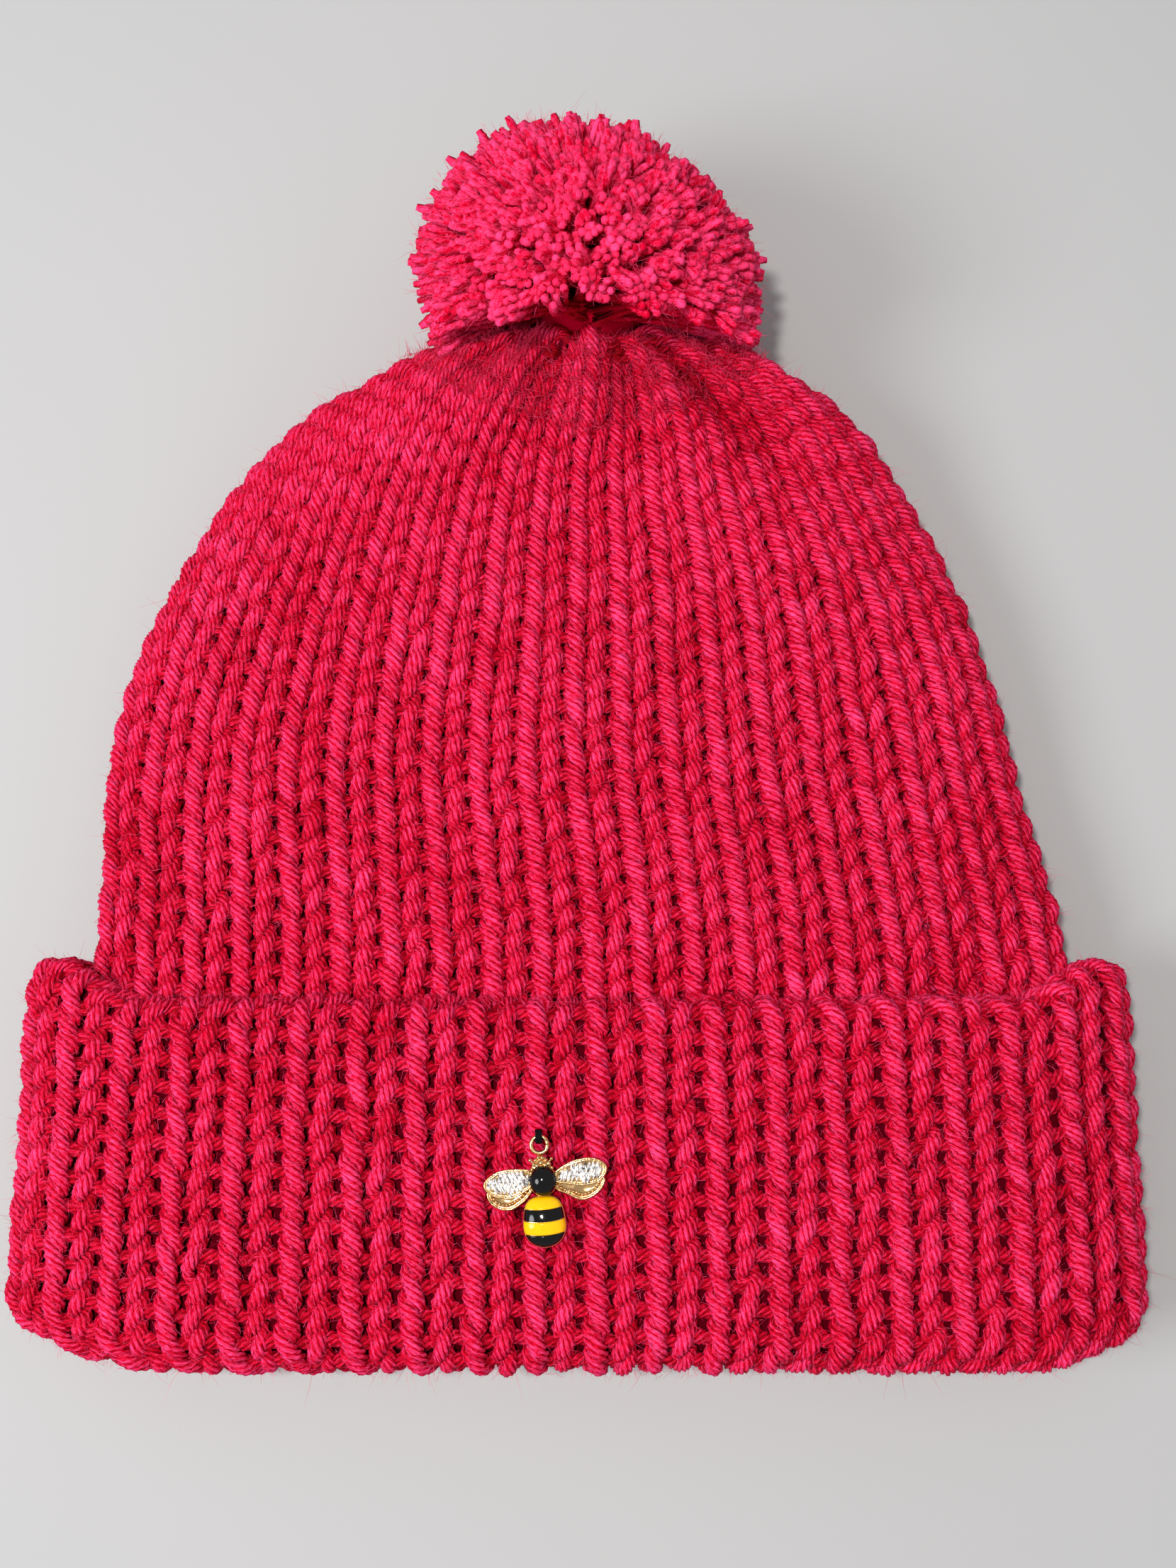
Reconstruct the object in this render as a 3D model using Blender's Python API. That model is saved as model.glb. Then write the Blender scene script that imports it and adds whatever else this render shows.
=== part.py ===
"""Pom pom beanie lying on its back: double-layer knitted tube with a turned-up cuff, pom-pom and bee charm.

Frame: +Z up out of the front of the hat, +Y from the mouth to the pom-pom, +X to the wearer's left side.
The origin is under the middle of the whole object's box.  The hat is built with its mouth at y = 0 and
its lowest point at z = 0, and every point goes through place(), which sways the hat's middle line and
moves the mouth to its place in the frame.
"""
import math

import bmesh
import bpy
from mathutils import Matrix, Vector

MM = 0.001

# Driving dimensions, in millimetres.
CUFF_HALF_WIDTH = 124.0     # outside of the cuff
CUFF_HEIGHT = 78.0          # mouth to the top fold, at the middle
EAR_RISE = 8.5              # how much higher the top fold stands at the two ends
EAR_FROM = 96.0             # from this distance off the middle ...
EAR_TO = 114.0              # ... to this one
LAYER = 3.6                 # thickness of one knitted layer
GAP = 0.3                   # between layers, and between pieces that touch
CAVITY_HALF = 4.5           # half the height of the room for the head, in the cuff
PITCH = LAYER + GAP
CUFF_HALF_HEIGHT = CAVITY_HALF + 4 * PITCH - GAP
CUFF_ARC_X = CUFF_HALF_WIDTH - CUFF_HALF_HEIGHT
MOUTH_FOLD = 2 * PITCH - GAP / 2          # radius of the fold at the mouth
TOP_FOLD = PITCH - GAP / 2                # radius of the fold at the cuff's top
BODY_HALF_WIDTH = 107.5     # where the body starts to curve in
BODY_HALF_HEIGHT = CAVITY_HALF + 2 * PITCH - GAP
DOME_FROM = 65.5            # how far from the mouth that is
DOME_LENGTH = 163.0         # from there to the closed crown
DOME_POWER = 2.3
DOME_ROOT = 0.40
BULGE = 3.0                 # extra half height of the body above the cuff ...
BULGE_FROM = 76.0           # ... which grows from here ...
BULGE_TO = 141.0            # ... to here
NOSE_BULGE = 1.0            # what is left of it at the crown
NOSE_FROM = 190.0           # where it starts to shrink
YARN_HOLE = 3.5             # what the gathering leaves open
SAG = (2.8, 80.0, 126.0)    # drop of the middle line behind the cuff, and from where to where
NOSE_LIFT = (12.0, 180.0, 231.0)          # its rise to the pom-pom
SWAY_LEFT = (4.2, 80.0, 165.0)            # its sway to the left above the cuff
SWAY_RIGHT = (6.7, 185.0, 230.0)          # and back to the right at the crown
HAT_LENGTH = 274.0
POM_RADIUS = 37.5
POM_LIP = 233.5             # the ball is open towards the crown below this plane
POM_PIVOT_Y = 225.0
TIE_Y = 235.5               # the yarn tied round the strands' waist
TAIL_RADIUS = 1.5
TAIL_LENGTH = 15.1
KNOT_Y = 213.0
CHARM_X = -8.0
CHARM_RING_Y = 48.3         # middle of the charm's ring
RING_LIFT = 1.35            # its height over the cuff
STITCH_HOLE = 2.15          # radius of the hole that the thread goes in by
CHARM_TILT = math.radians(4.5)
RING_RADIUS = 1.72          # to the middle of the ring's wire
RING_WIRE = 0.5
THREAD_RADIUS = 0.42
THREAD_LOOP = 1.3
SMALL_GAP = 0.15            # between the charm's small pieces

RING_FLATS = 8              # segments along each flat side of a layer's section
RING_ARCS = 8               # segments round each end of it
DOME_STEPS = (0.0, 0.1, 0.2, 0.31, 0.42, 0.53, 0.63, 0.72, 0.8, 0.87, 0.925, 0.963, 0.985, 0.9963)

COLOURS = {
    "pink": (0.62, 0.01, 0.09, 1.0),
    "thread": (0.01, 0.01, 0.01, 1.0),
    "gold": (0.83, 0.58, 0.24, 1.0),
    "black": (0.006, 0.006, 0.007, 1.0),
    "yellow": (0.93, 0.60, 0.01, 1.0),
    "crystal": (0.93, 0.94, 0.97, 1.0),
}
ROUGHNESS = {"pink": 0.9, "thread": 0.8, "gold": 0.2, "black": 0.08, "yellow": 0.12, "crystal": 0.03}


def clear_scene():
    """Empty the file without closing it."""
    for thing in list(bpy.data.objects):
        bpy.data.objects.remove(thing)


def material(kind, name):
    """A Principled material of its own for each sub-part."""
    made = bpy.data.materials.new(name)
    made.use_nodes = True
    shader = made.node_tree.nodes["Principled BSDF"]
    shader.inputs["Base Color"].default_value = COLOURS[kind]
    shader.inputs["Roughness"].default_value = ROUGHNESS[kind]
    shader.inputs["Metallic"].default_value = 1.0 if kind == "gold" else 0.0
    return made


def smooth(value, low, high):
    """0 below low, 1 above high, and an even ease between them."""
    t = min(max((value - low) / (high - low), 0.0), 1.0)
    return t * t * (3.0 - 2.0 * t)


def middle_line(y):
    """Where the hat's middle line lies at this distance from the mouth."""

    def ease(change):
        amount, low, high = change
        return amount * smooth(y, low, high)

    return ease(SWAY_RIGHT) - ease(SWAY_LEFT), CUFF_HALF_HEIGHT - ease(SAG) + ease(NOSE_LIFT)


def place(x, y, z):
    """A point of the straight hat, in millimetres, to its place in the frame, in metres."""
    across, up = middle_line(y)
    return Vector(((x + across) * MM, (y - HAT_LENGTH / 2) * MM, (z + up) * MM))


def stadium(half_width, half_height):
    """Points round a section with flat front and back and round ends, as (x, z)."""
    half_height = min(half_height, half_width)
    arc_x = half_width - half_height
    points = []
    for side in (1, -1):
        for k in range(RING_FLATS):
            points.append((side * arc_x * (1 - 2 * k / RING_FLATS), side * half_height))
        for k in range(RING_ARCS):
            angle = math.pi * k / RING_ARCS
            x = -side * (arc_x + half_height * math.sin(angle))
            points.append((x, side * half_height * math.cos(angle)))
    return points


def finish(name, mesh, kind, parent=None, smooth_angle=40):
    """Link a mesh as a named object with its material, and shade it."""
    mesh.shade_smooth()
    mesh.set_sharp_from_angle(angle=math.radians(smooth_angle))
    made = bpy.data.objects.new(name, mesh)
    made.data.materials.append(material(kind, name))
    bpy.context.scene.collection.objects.link(made)
    if parent:
        made.parent = parent
        made.matrix_parent_inverse = parent.matrix_world.inverted()
    return made


def loft(name, rings, closed=False):
    """A mesh skinned over rings of the same number of points: a closed loop of rings, or capped at its ends."""
    bm = bmesh.new()
    rows = [[bm.verts.new(point) for point in ring] for ring in rings]
    pairs = list(zip(rows, rows[1:]))
    if closed:
        pairs.append((rows[-1], rows[0]))
    for low, high in pairs:
        count = len(low)
        for k in range(count):
            bm.faces.new((low[k], low[(k + 1) % count], high[(k + 1) % count], high[k]))
    if not closed:
        bm.faces.new(rows[0])
        bm.faces.new(rows[-1])
    bmesh.ops.recalc_face_normals(bm, faces=bm.faces)
    mesh = bpy.data.meshes.new(name)
    bm.to_mesh(mesh)
    bm.free()
    if closed and mesh_volume(mesh) < 0:
        mesh.flip_normals()
    return mesh


def mesh_volume(mesh):
    """The signed volume, negative when the faces point in."""
    bm = bmesh.new()
    bm.from_mesh(mesh)
    volume = bm.calc_volume(signed=True)
    bm.free()
    return volume


def ear(x):
    """How far the cuff's top fold is on its way up to the ends' height."""
    return smooth(abs(x), EAR_FROM, EAR_TO)


def cuff_ring(y, offset, arc_x=CUFF_ARC_X):
    """A ring of the cuff at this height and this distance out from the cavity."""
    radius = CAVITY_HALF + offset
    lift = EAR_RISE * smooth(y, 20, CUFF_HEIGHT - TOP_FOLD - 4 * GAP)
    section = stadium(arc_x + radius, radius)
    outside = stadium(CUFF_HALF_WIDTH, CUFF_HALF_HEIGHT)
    return [place(x, y + lift * ear(ear_x), z) for (x, z), (ear_x, _) in zip(section, outside)]


def arc(centre, radius, start, end, steps):
    """Points (y, offset) round part of a fold, angles in degrees from +y."""
    points = []
    for k in range(steps + 1):
        angle = math.radians(start + (end - start) * k / steps)
        points.append((centre[0] + radius * math.cos(angle), centre[1] + radius * math.sin(angle)))
    return points


def cuff_facing():
    """The visible cuff: round the mouth fold, up the outside and over the top fold."""
    top = CUFF_HEIGHT - TOP_FOLD
    outside = 4 * PITCH - GAP
    fold_middle = (MOUTH_FOLD, outside / 2)
    profile = arc(fold_middle, outside / 2, 270, 90, 8)
    profile += [(30.0, outside), (56.0, outside)]
    profile += arc((top, outside - TOP_FOLD), TOP_FOLD, 90, -90, 6)
    profile += [(top, outside - LAYER), (56.0, outside - LAYER), (30.0, outside - LAYER)]
    profile += arc(fold_middle, outside / 2 - LAYER, 90, 270, 5)
    mesh = loft("cuff_facing", [cuff_ring(y, offset) for y, offset in profile], closed=True)
    made = finish("cuff_facing", mesh, "pink")
    bore(made, charm_pivot(), STITCH_HOLE, LAYER + 2.0)
    return made


def bore(target, centre, radius, depth):
    """Cut the stitch hole that the charm's thread comes out of."""
    bm = bmesh.new()
    bmesh.ops.create_cone(bm, cap_ends=True, segments=12, radius1=radius * MM, radius2=radius * MM, depth=depth * MM)
    mesh = bpy.data.meshes.new("stitch_hole")
    bm.to_mesh(mesh)
    bm.free()
    cutter = bpy.data.objects.new("stitch_hole", mesh)
    cutter.location = (centre[0], centre[1], (2 * CUFF_HALF_HEIGHT - LAYER / 2) * MM)
    cutter.hide_render = True
    cutter.display_type = "WIRE"
    bpy.context.scene.collection.objects.link(cutter)
    cut = target.modifiers.new("stitch_hole", "BOOLEAN")
    cut.operation = "DIFFERENCE"
    cut.solver = "EXACT"
    cut.object = cutter


def cuff_inner_layer():
    """The hidden layer of the cuff, between the facing and the body."""
    low = MOUTH_FOLD
    high = CUFF_HEIGHT - TOP_FOLD - 4 * GAP
    inner = 2 * PITCH
    profile = [(low, inner), (low, inner + LAYER), (30.0, inner + LAYER), (56.0, inner + LAYER)]
    profile += [(high, inner + LAYER), (high, inner), (30.0, inner)]
    mesh = loft("cuff_inner_layer", [cuff_ring(y, offset) for y, offset in profile], closed=True)
    return finish("cuff_inner_layer", mesh, "pink")


def dome_width(u):
    """The body's half width, as a part of its full one, at u from the cuff to the crown."""
    return max(1.0 - u ** DOME_POWER, 0.0) ** DOME_ROOT


def body_half_height(y):
    """Half the height of the body's outside."""
    grow = BULGE * smooth(y, BULGE_FROM, BULGE_TO)
    shrink = (BULGE - NOSE_BULGE) * smooth(y, NOSE_FROM, DOME_FROM + DOME_LENGTH)
    return BODY_HALF_HEIGHT + grow - shrink


def body_rings(depth, mouth):
    """Rings of one face of the body, this far in from its outside, from the mouth to the yarn's hole."""
    rings = []
    mouth_width = CUFF_ARC_X + BODY_HALF_HEIGHT
    for y in (mouth, 32.0, 54.0):
        width = mouth_width + (BODY_HALF_WIDTH - mouth_width) * (y - mouth) / (DOME_FROM - mouth)
        rings.append([place(x, y, z) for x, z in stadium(width - depth, BODY_HALF_HEIGHT - depth)])
    for u in DOME_STEPS:
        y = DOME_FROM + u * (DOME_LENGTH - depth)
        width = (BODY_HALF_WIDTH - depth) * dome_width(u)
        height = body_half_height(DOME_FROM + u * DOME_LENGTH) - depth
        rings.append([place(x, y, z) for x, z in stadium(width, height)])
    rings.append([place(x, y, z) for x, z in stadium(YARN_HOLE, YARN_HOLE)])
    return rings


def body_layer(name, depth, mouth):
    """One knitted layer of the body, open at the mouth and at the yarn's hole."""
    rings = body_rings(depth, mouth) + body_rings(depth + LAYER, mouth)[::-1]
    return finish(name, loft(name, rings, closed=True), "pink")


def torus_mesh(name, centre, axis_turn, major, minor, around, section):
    """A ring of yarn, thread or wire; axis_turn takes its axis from +Z to where it points."""
    rings = []
    for k in range(around):
        angle = math.tau * k / around
        ring = []
        for j in range(section):
            turn = math.tau * j / section
            reach = major + minor * math.cos(turn)
            local = Vector((reach * math.cos(angle), reach * math.sin(angle), minor * math.sin(turn)))
            ring.append(Vector(centre) + (axis_turn @ local) * MM)
        rings.append(ring)
    return loft(name, rings, closed=True)


def gather_yarn(name, y, radius, wire):
    """The drawstring that closes a crown, seen from inside or under the pom-pom."""
    turn = Matrix.Rotation(math.radians(90), 3, "X")
    mesh = torus_mesh(name, place(0, y, 0), turn, radius, wire, 20, 8)
    return finish(name, mesh, "pink")


def turned(name, centre, profile, segments):
    """A piece turned about the Y direction from (radius, y) points; the ends may close in a point."""
    bm = bmesh.new()
    rows = []
    for radius, y in profile:
        if radius < 1e-6:
            rows.append([bm.verts.new(Vector(centre) + Vector((0, y * MM, 0)))])
            continue
        row = []
        for k in range(segments):
            angle = math.tau * k / segments
            local = Vector((radius * math.cos(angle), y, radius * math.sin(angle)))
            row.append(bm.verts.new(Vector(centre) + local * MM))
        rows.append(row)
    for low, high in zip(rows, rows[1:]):
        for k in range(segments):
            corners = [low[k % len(low)], low[(k + 1) % segments % len(low)]]
            corners += [high[(k + 1) % segments % len(high)], high[k % len(high)]]
            bm.faces.new(list(dict.fromkeys(corners)))
    bmesh.ops.recalc_face_normals(bm, faces=bm.faces)
    mesh = bpy.data.meshes.new(name)
    bm.to_mesh(mesh)
    bm.free()
    if mesh_volume(mesh) < 0:
        mesh.flip_normals()
    return mesh


def pom_pivot():
    """Where the pom-pom's tail holds it, in the crown's hole."""
    return place(0, POM_PIVOT_Y, 0)


def pom_centre():
    """The middle of the pom-pom."""
    across, _ = middle_line(HAT_LENGTH)
    return Vector((across, HAT_LENGTH / 2 - POM_RADIUS, POM_RADIUS)) * MM


def pom_ball(parent):
    """The ball of cut yarn, hollowed where the crown and the tie sit in it."""
    centre = pom_centre()
    low = POM_LIP - (HAT_LENGTH - POM_RADIUS)
    profile = [(0.0, POM_RADIUS)]
    steps = 12
    last = math.acos(low / POM_RADIUS)
    for k in range(1, steps + 1):
        angle = last * k / steps
        profile.append((POM_RADIUS * math.sin(angle), POM_RADIUS * math.cos(angle)))
    profile += [(27.0, low + 1.5), (15.0, low + 3.5), (15.0, low + 10.0), (0.0, low + 12.0)]
    mesh = turned("pom_ball", centre, profile, 28)
    return finish("pom_ball", mesh, "pink", parent)


def pom_tie_yarn(parent):
    """The yarn tied round the strands' waist, and its tail down through the crown."""
    profile = [(0.0, 6.6), (3.2, 6.0), (5.0, 3.6), (5.0, 1.4), (3.4, -0.6), (TAIL_RADIUS, -1.6)]
    profile += [(TAIL_RADIUS, -6.0), (TAIL_RADIUS, -TAIL_LENGTH), (0.0, -TAIL_LENGTH - 0.2)]
    centre = place(0, TIE_Y, 0)
    mesh = turned("pom_tie_yarn", Vector((pom_pivot().x, centre.y, pom_pivot().z)), profile, 10)
    return finish("pom_tie_yarn", mesh, "pink", parent)


def pom_knot():
    """The knot that stops the tail inside the hat."""
    profile = [(0.0, 2.8), (2.8, 2.4), (4.4, 0.6), (4.2, -1.4), (2.6, -2.8), (0.0, -3.2)]
    mesh = turned("pom_knot", place(0, KNOT_Y, 0), profile, 12)
    return finish("pom_knot", mesh, "pink")


def charm_pivot():
    """Where the thread holds the charm: over the top of its ring."""
    top = Vector((0, RING_RADIUS, 0))
    top.rotate(Matrix.Rotation(CHARM_TILT, 3, "Z"))
    ring = Vector((CHARM_X, CHARM_RING_Y - HAT_LENGTH / 2, 2 * CUFF_HALF_HEIGHT + RING_LIFT))
    return (ring + top) * MM


def charm_point(x, y, z):
    """A point of the upright charm, from the middle of its ring and the cuff's front, to its place."""
    turned_point = Matrix.Rotation(CHARM_TILT, 3, "Z") @ Vector((x, y, z))
    base = Vector((CHARM_X, CHARM_RING_Y - HAT_LENGTH / 2, 2 * CUFF_HALF_HEIGHT))
    return (base + turned_point) * MM


def charm_thread(parent):
    """The loop of black thread through the ring and into the stitch hole."""
    turn = Matrix.Rotation(CHARM_TILT, 3, "Z") @ Matrix.Rotation(math.radians(90), 3, "Y")
    mesh = torus_mesh("charm_thread", charm_pivot(), turn, THREAD_LOOP, THREAD_RADIUS, 18, 8)
    return finish("charm_thread", mesh, "thread", parent)


def charm_thread_knot():
    """The knot under the thread loop, in the stitch hole."""
    pivot = charm_pivot()
    low = 2 * CUFF_HALF_HEIGHT - LAYER + 0.1
    rings = []
    for radius, z in ((0.7, 0.0), (1.5, 0.3), (1.5, 0.8), (0.8, 1.1)):
        ring = []
        for k in range(12):
            angle = math.tau * k / 12
            reach = Vector((radius * math.cos(angle), radius * math.sin(angle), low + z))
            ring.append(Vector((pivot.x, pivot.y, 0)) + reach * MM)
        rings.append(ring)
    return finish("charm_thread_knot", loft("charm_thread_knot", rings), "thread")


def oval(centre, half_length, half_width, tilt, points, taper=0.0):
    """An egg or a leaf as (x, y) points; taper narrows its far end."""
    made = []
    for k in range(points):
        angle = math.tau * k / points
        along = half_length * math.cos(angle)
        wide = half_width * math.sin(angle) * (1.0 - taper * math.cos(angle))
        x = centre[0] + along * math.cos(tilt) - wide * math.sin(tilt)
        y = centre[1] + along * math.sin(tilt) + wide * math.cos(tilt)
        made.append((x, y))
    return made


def plate(name, outline, low, high):
    """A flat plate of the charm between two heights above the cuff."""
    rings = [[charm_point(x, y, z) for x, y in outline] for z in (low, high)]
    return loft(name, rings)


UPPER_WINGS = {
    "right": {"centre": (8.2, -6.3), "half_length": 5.4, "half_width": 2.6, "tilt": math.radians(4)},
    "left": {"centre": (-7.0, -7.6), "half_length": 4.95, "half_width": 2.6, "tilt": math.radians(188)}}
LOWER_WINGS = {
    "right": {"centre": (7.8, -9.5), "half_length": 4.9, "half_width": 2.1, "tilt": 0.0},
    "left": {"centre": (-6.8, -10.4), "half_length": 4.6, "half_width": 2.2, "tilt": math.radians(184)}}
HEAD = {"centre": (0.25, -7.4), "half_width": 2.85, "half_length": 3.1}
TAIL = {"centre": (-0.1, -15.75), "half_width": 4.3, "half_length": 5.15}
TAIL_TAPER = 0.14           # the abdomen is wider below its middle
BODY_RIM = 0.3              # the casting's edge round the enamel
BODY_TOP = 1.9              # height of the casting's body plate above the cuff
WING_TOP = 1.97             # and of its upper wings
BANDS = (("yellow_band_upper", "yellow", 4.8, 2.75), ("black_band", "black", 2.5, 0.2),
         ("yellow_band_lower", "yellow", -0.05, -2.55), ("black_tip", "black", -2.8, -5.0))


def head_outline(extra, grow, points):
    """The head's outline, grown by extra and scaled by grow."""
    half_length = (HEAD["half_length"] + extra) * grow
    half_width = (HEAD["half_width"] + extra) * grow
    return oval(HEAD["centre"], half_length, half_width, math.pi / 2, points)


def bee_casting(parent):
    """The gold casting: body plate, two pairs of wings, neck and hanging ring in one piece."""
    pieces = [plate("bee_casting", tail_outline(BODY_RIM, 28), 0.5, BODY_TOP)]
    pieces.append(plate("head_plate", head_outline(BODY_RIM, 1.0, 20), 0.45, BODY_TOP - 0.05))
    neck = [(-0.75, -5.0), (0.75, -5.0), (0.6, -1.55), (-0.6, -1.55)]
    pieces.append(plate("neck", neck, 0.95, 1.75))
    for side in ("right", "left"):
        pieces.append(plate("upper_wing", oval(points=22, taper=-0.2, **UPPER_WINGS[side]), 1.15, WING_TOP))
        pieces.append(plate("lower_wing", oval(points=22, taper=-0.15, **LOWER_WINGS[side]), 0.55, 1.55))
    turn = Matrix.Rotation(CHARM_TILT, 3, "Z")
    ring = torus_mesh("ring", charm_point(0, 0, RING_LIFT), turn, RING_RADIUS, RING_WIRE, 20, 8)
    pieces.append(ring)
    made = finish("bee_casting", pieces[0], "gold", parent)
    for k, mesh in enumerate(pieces[1:]):
        other = bpy.data.objects.new(f"casting_tool_{k}", mesh)
        other.hide_render = True
        other.display_type = "WIRE"
        bpy.context.scene.collection.objects.link(other)
        join = made.modifiers.new(other.name, "BOOLEAN")
        join.operation = "UNION"
        join.solver = "EXACT"
        join.object = other
    return made


def tail_outline(extra, points):
    """The abdomen's egg outline, wider below, grown by extra."""
    half_length = TAIL["half_length"] + extra
    half_width = TAIL["half_width"] + extra
    return oval(TAIL["centre"], half_length, half_width, -math.pi / 2, points, taper=-TAIL_TAPER)


def tail_half_width(y):
    """Half the width of the abdomen's enamel at this height."""
    along = (TAIL["centre"][1] - y) / TAIL["half_length"]
    along = min(max(along, -1.0), 1.0)
    return TAIL["half_width"] * math.sqrt(1.0 - along * along) * (1.0 + TAIL_TAPER * along)


def enamel_band(name, kind, top, bottom, parent):
    """A domed fill of enamel across the abdomen, between two distances from its middle."""
    rings = []
    steps = 4
    floor = BODY_TOP + SMALL_GAP
    for k in range(steps + 1):
        y = TAIL["centre"][1] + top + (bottom - top) * k / steps
        half = max(tail_half_width(y), 0.55)
        rise = 2.1 * half / TAIL["half_width"]
        ring = []
        for j in range(9):
            angle = math.pi * j / 8
            ring.append(charm_point(TAIL["centre"][0] + half * math.cos(angle), y, floor + rise * math.sin(angle)))
        rings.append(ring)
    return finish(name, loft(name, rings), kind, parent)


def head_enamel(parent):
    """The domed black head."""
    rings = []
    for k in range(6):
        lift = math.pi / 2 * k / 5.6
        grow = math.cos(lift)
        height = BODY_TOP + SMALL_GAP + 2.0 * math.sin(lift)
        rings.append([charm_point(x, y, height) for x, y in head_outline(0.0, grow, 16)])
    return finish("head_enamel", loft("head_enamel", rings), "black", parent)


CRYSTAL_ROWS = ((1.35, (-1.4, 0.4, 2.2)), (-0.1, (-2.6, -0.8, 1.0, 2.8)), (-1.5, (-1.3, 0.5, 2.2)))
CRYSTAL_HALF = (0.68, 0.42)


def crystals(parent):
    """Elongated stones set in rows in both upper wings."""
    made = []
    for side, wing in UPPER_WINGS.items():
        number = 0
        cos, sin = math.cos(wing["tilt"]), math.sin(wing["tilt"])
        for row_y, row in CRYSTAL_ROWS:
            for along in row:
                number += 1
                x = wing["centre"][0] + along * cos - row_y * sin
                y = wing["centre"][1] + along * sin + row_y * cos
                made.append(crystal(f"crystal_{side}_{number:02d}", x, y, parent))
    return made


def crystal(name, x, y, parent):
    """One marquise stone, standing along the charm's height."""
    rings = []
    for grow, height in ((0.75, 0.0), (1.0, 0.25), (0.55, 0.6)):
        half_length, half_width = CRYSTAL_HALF
        outline = oval((x, y), half_length * grow, half_width * grow, math.radians(80), 8)
        rings.append([charm_point(px, py, WING_TOP + SMALL_GAP + height) for px, py in outline])
    return finish(name, loft(name, rings), "crystal", parent, smooth_angle=10)


def empty(name, where, parent=None):
    """An empty on a joint's axis, which its moving pieces hang from."""
    made = bpy.data.objects.new(name, None)
    bpy.context.scene.collection.objects.link(made)
    if parent:
        made.parent = parent
        made.matrix_parent_inverse = parent.matrix_world.inverted()
    made.matrix_world = Matrix.Translation(where)
    bpy.context.view_layer.update()
    return made


def build():
    """The whole hat."""
    clear_scene()
    body_layer("outer_body", 0.0, MOUTH_FOLD)
    body_layer("body_lining", PITCH, MOUTH_FOLD + GAP)
    cuff_facing()
    cuff_inner_layer()
    crown_end = DOME_FROM + DOME_LENGTH * DOME_STEPS[-1]
    lining_end = DOME_FROM + (DOME_LENGTH - 2 * PITCH + GAP) * DOME_STEPS[-1]
    gather_yarn("crown_gather_yarn", crown_end + GAP + 1.3, 6.6, 1.3)
    gather_yarn("lining_gather_yarn", lining_end - GAP - 1.0, 3.9, 1.0)
    nod = empty("pom_nod_axis", pom_pivot())
    sway = empty("pom_sway_axis", pom_pivot(), nod)
    pom_tie_yarn(nod)
    pom_ball(sway)
    pom_knot()
    swing = empty("charm_swing_axis", charm_pivot())
    lift = empty("charm_lift_axis", charm_pivot(), swing)
    charm_thread(swing)
    charm_thread_knot()
    bee_casting(lift)
    head_enamel(lift)
    for name, kind, top, bottom in BANDS:
        enamel_band(name, kind, top, bottom, lift)
    crystals(lift)


build()
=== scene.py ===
"""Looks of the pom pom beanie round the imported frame: knitted yarn, pom-pom, bee charm, light, camera."""
import math

import bmesh
import bpy
import numpy as np
from mathutils import Matrix, Vector


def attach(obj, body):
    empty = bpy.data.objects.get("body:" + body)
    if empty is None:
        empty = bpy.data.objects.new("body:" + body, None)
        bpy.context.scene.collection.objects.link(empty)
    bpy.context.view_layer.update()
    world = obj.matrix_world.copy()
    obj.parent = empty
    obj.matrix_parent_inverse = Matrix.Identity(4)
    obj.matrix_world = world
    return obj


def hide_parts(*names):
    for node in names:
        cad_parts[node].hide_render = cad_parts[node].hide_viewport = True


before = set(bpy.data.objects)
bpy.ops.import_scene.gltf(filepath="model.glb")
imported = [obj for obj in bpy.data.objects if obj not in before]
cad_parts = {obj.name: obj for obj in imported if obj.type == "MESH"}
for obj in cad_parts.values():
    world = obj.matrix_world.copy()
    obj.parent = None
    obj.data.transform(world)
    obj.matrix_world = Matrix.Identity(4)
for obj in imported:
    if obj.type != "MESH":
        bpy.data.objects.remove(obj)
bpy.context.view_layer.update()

MM = 0.001
SEED = 7

# The hat's shape in millimetres, close to the CAD part's: mouth at y = 0, underside at z = 0.
HAT_LENGTH = 274.0
CUFF_HALF_WIDTH = 124.0
CUFF_HALF_HEIGHT = 19.8
EAR_RISE = 8.5
CAVITY_HALF = 4.5
CUFF_ARC_X = CUFF_HALF_WIDTH - CUFF_HALF_HEIGHT
BODY_HALF_WIDTH = 106.0
BODY_HALF_HEIGHT = 12.0
BODY_FROM = 56.0            # the body's lower edge, under the cuff
CLOTH_DEPTH = 1.8           # from the cloth's face to the middle of its yarn
DOME_FROM = 65.5            # the body curves in from here ...
DOME_LENGTH = 163.0         # ... over this length
CUFF_FRONT = 39.6           # height of the cuff's front in the CAD part
POM_CENTRE = (3.3, 234.5 - HAT_LENGTH / 2, 37.5)
POM_RADIUS = 38.5
CORE_RADIUS = 30.0          # of the lump inside the pom-pom, before it is made smaller below
POM_ROOT = (2.5, 232.5 - HAT_LENGTH / 2, 44.0)      # where the strands come out of their tie
CHARM_AT = (-8.0, 48.3 - HAT_LENGTH / 2, CUFF_FRONT)
CHARM_TILT = math.radians(4.5)
RING_RADIUS = 1.72
RING_HEIGHT = 1.35

WALES = 40                  # columns of stitches round the tube
BODY_COURSES = 34
CUFF_COURSES = 26
LINING_COURSES = 20
MOST_TRIANGLES = 190000     # in one piece of knit, which keeps the export from thinning it
YARN = 1.72                 # radius of the knitting yarn
PLIES = 6
POM_PLIES = 3               # loose plies modelled in each cut strand
TWIST_PITCH = 9.6           # one full turn of the plies


CAMERA_TARGET = (0.0022, -0.0099, 0.018)
CAMERA_ELEVATION = 83.0
CAMERA_DISTANCE = 0.43
FRAME_HEIGHT = 0.3545       # height of the view at the hat
SENSOR_HEIGHT = 24.0
FLOOR_HALF_WIDTH = 3.0


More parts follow.
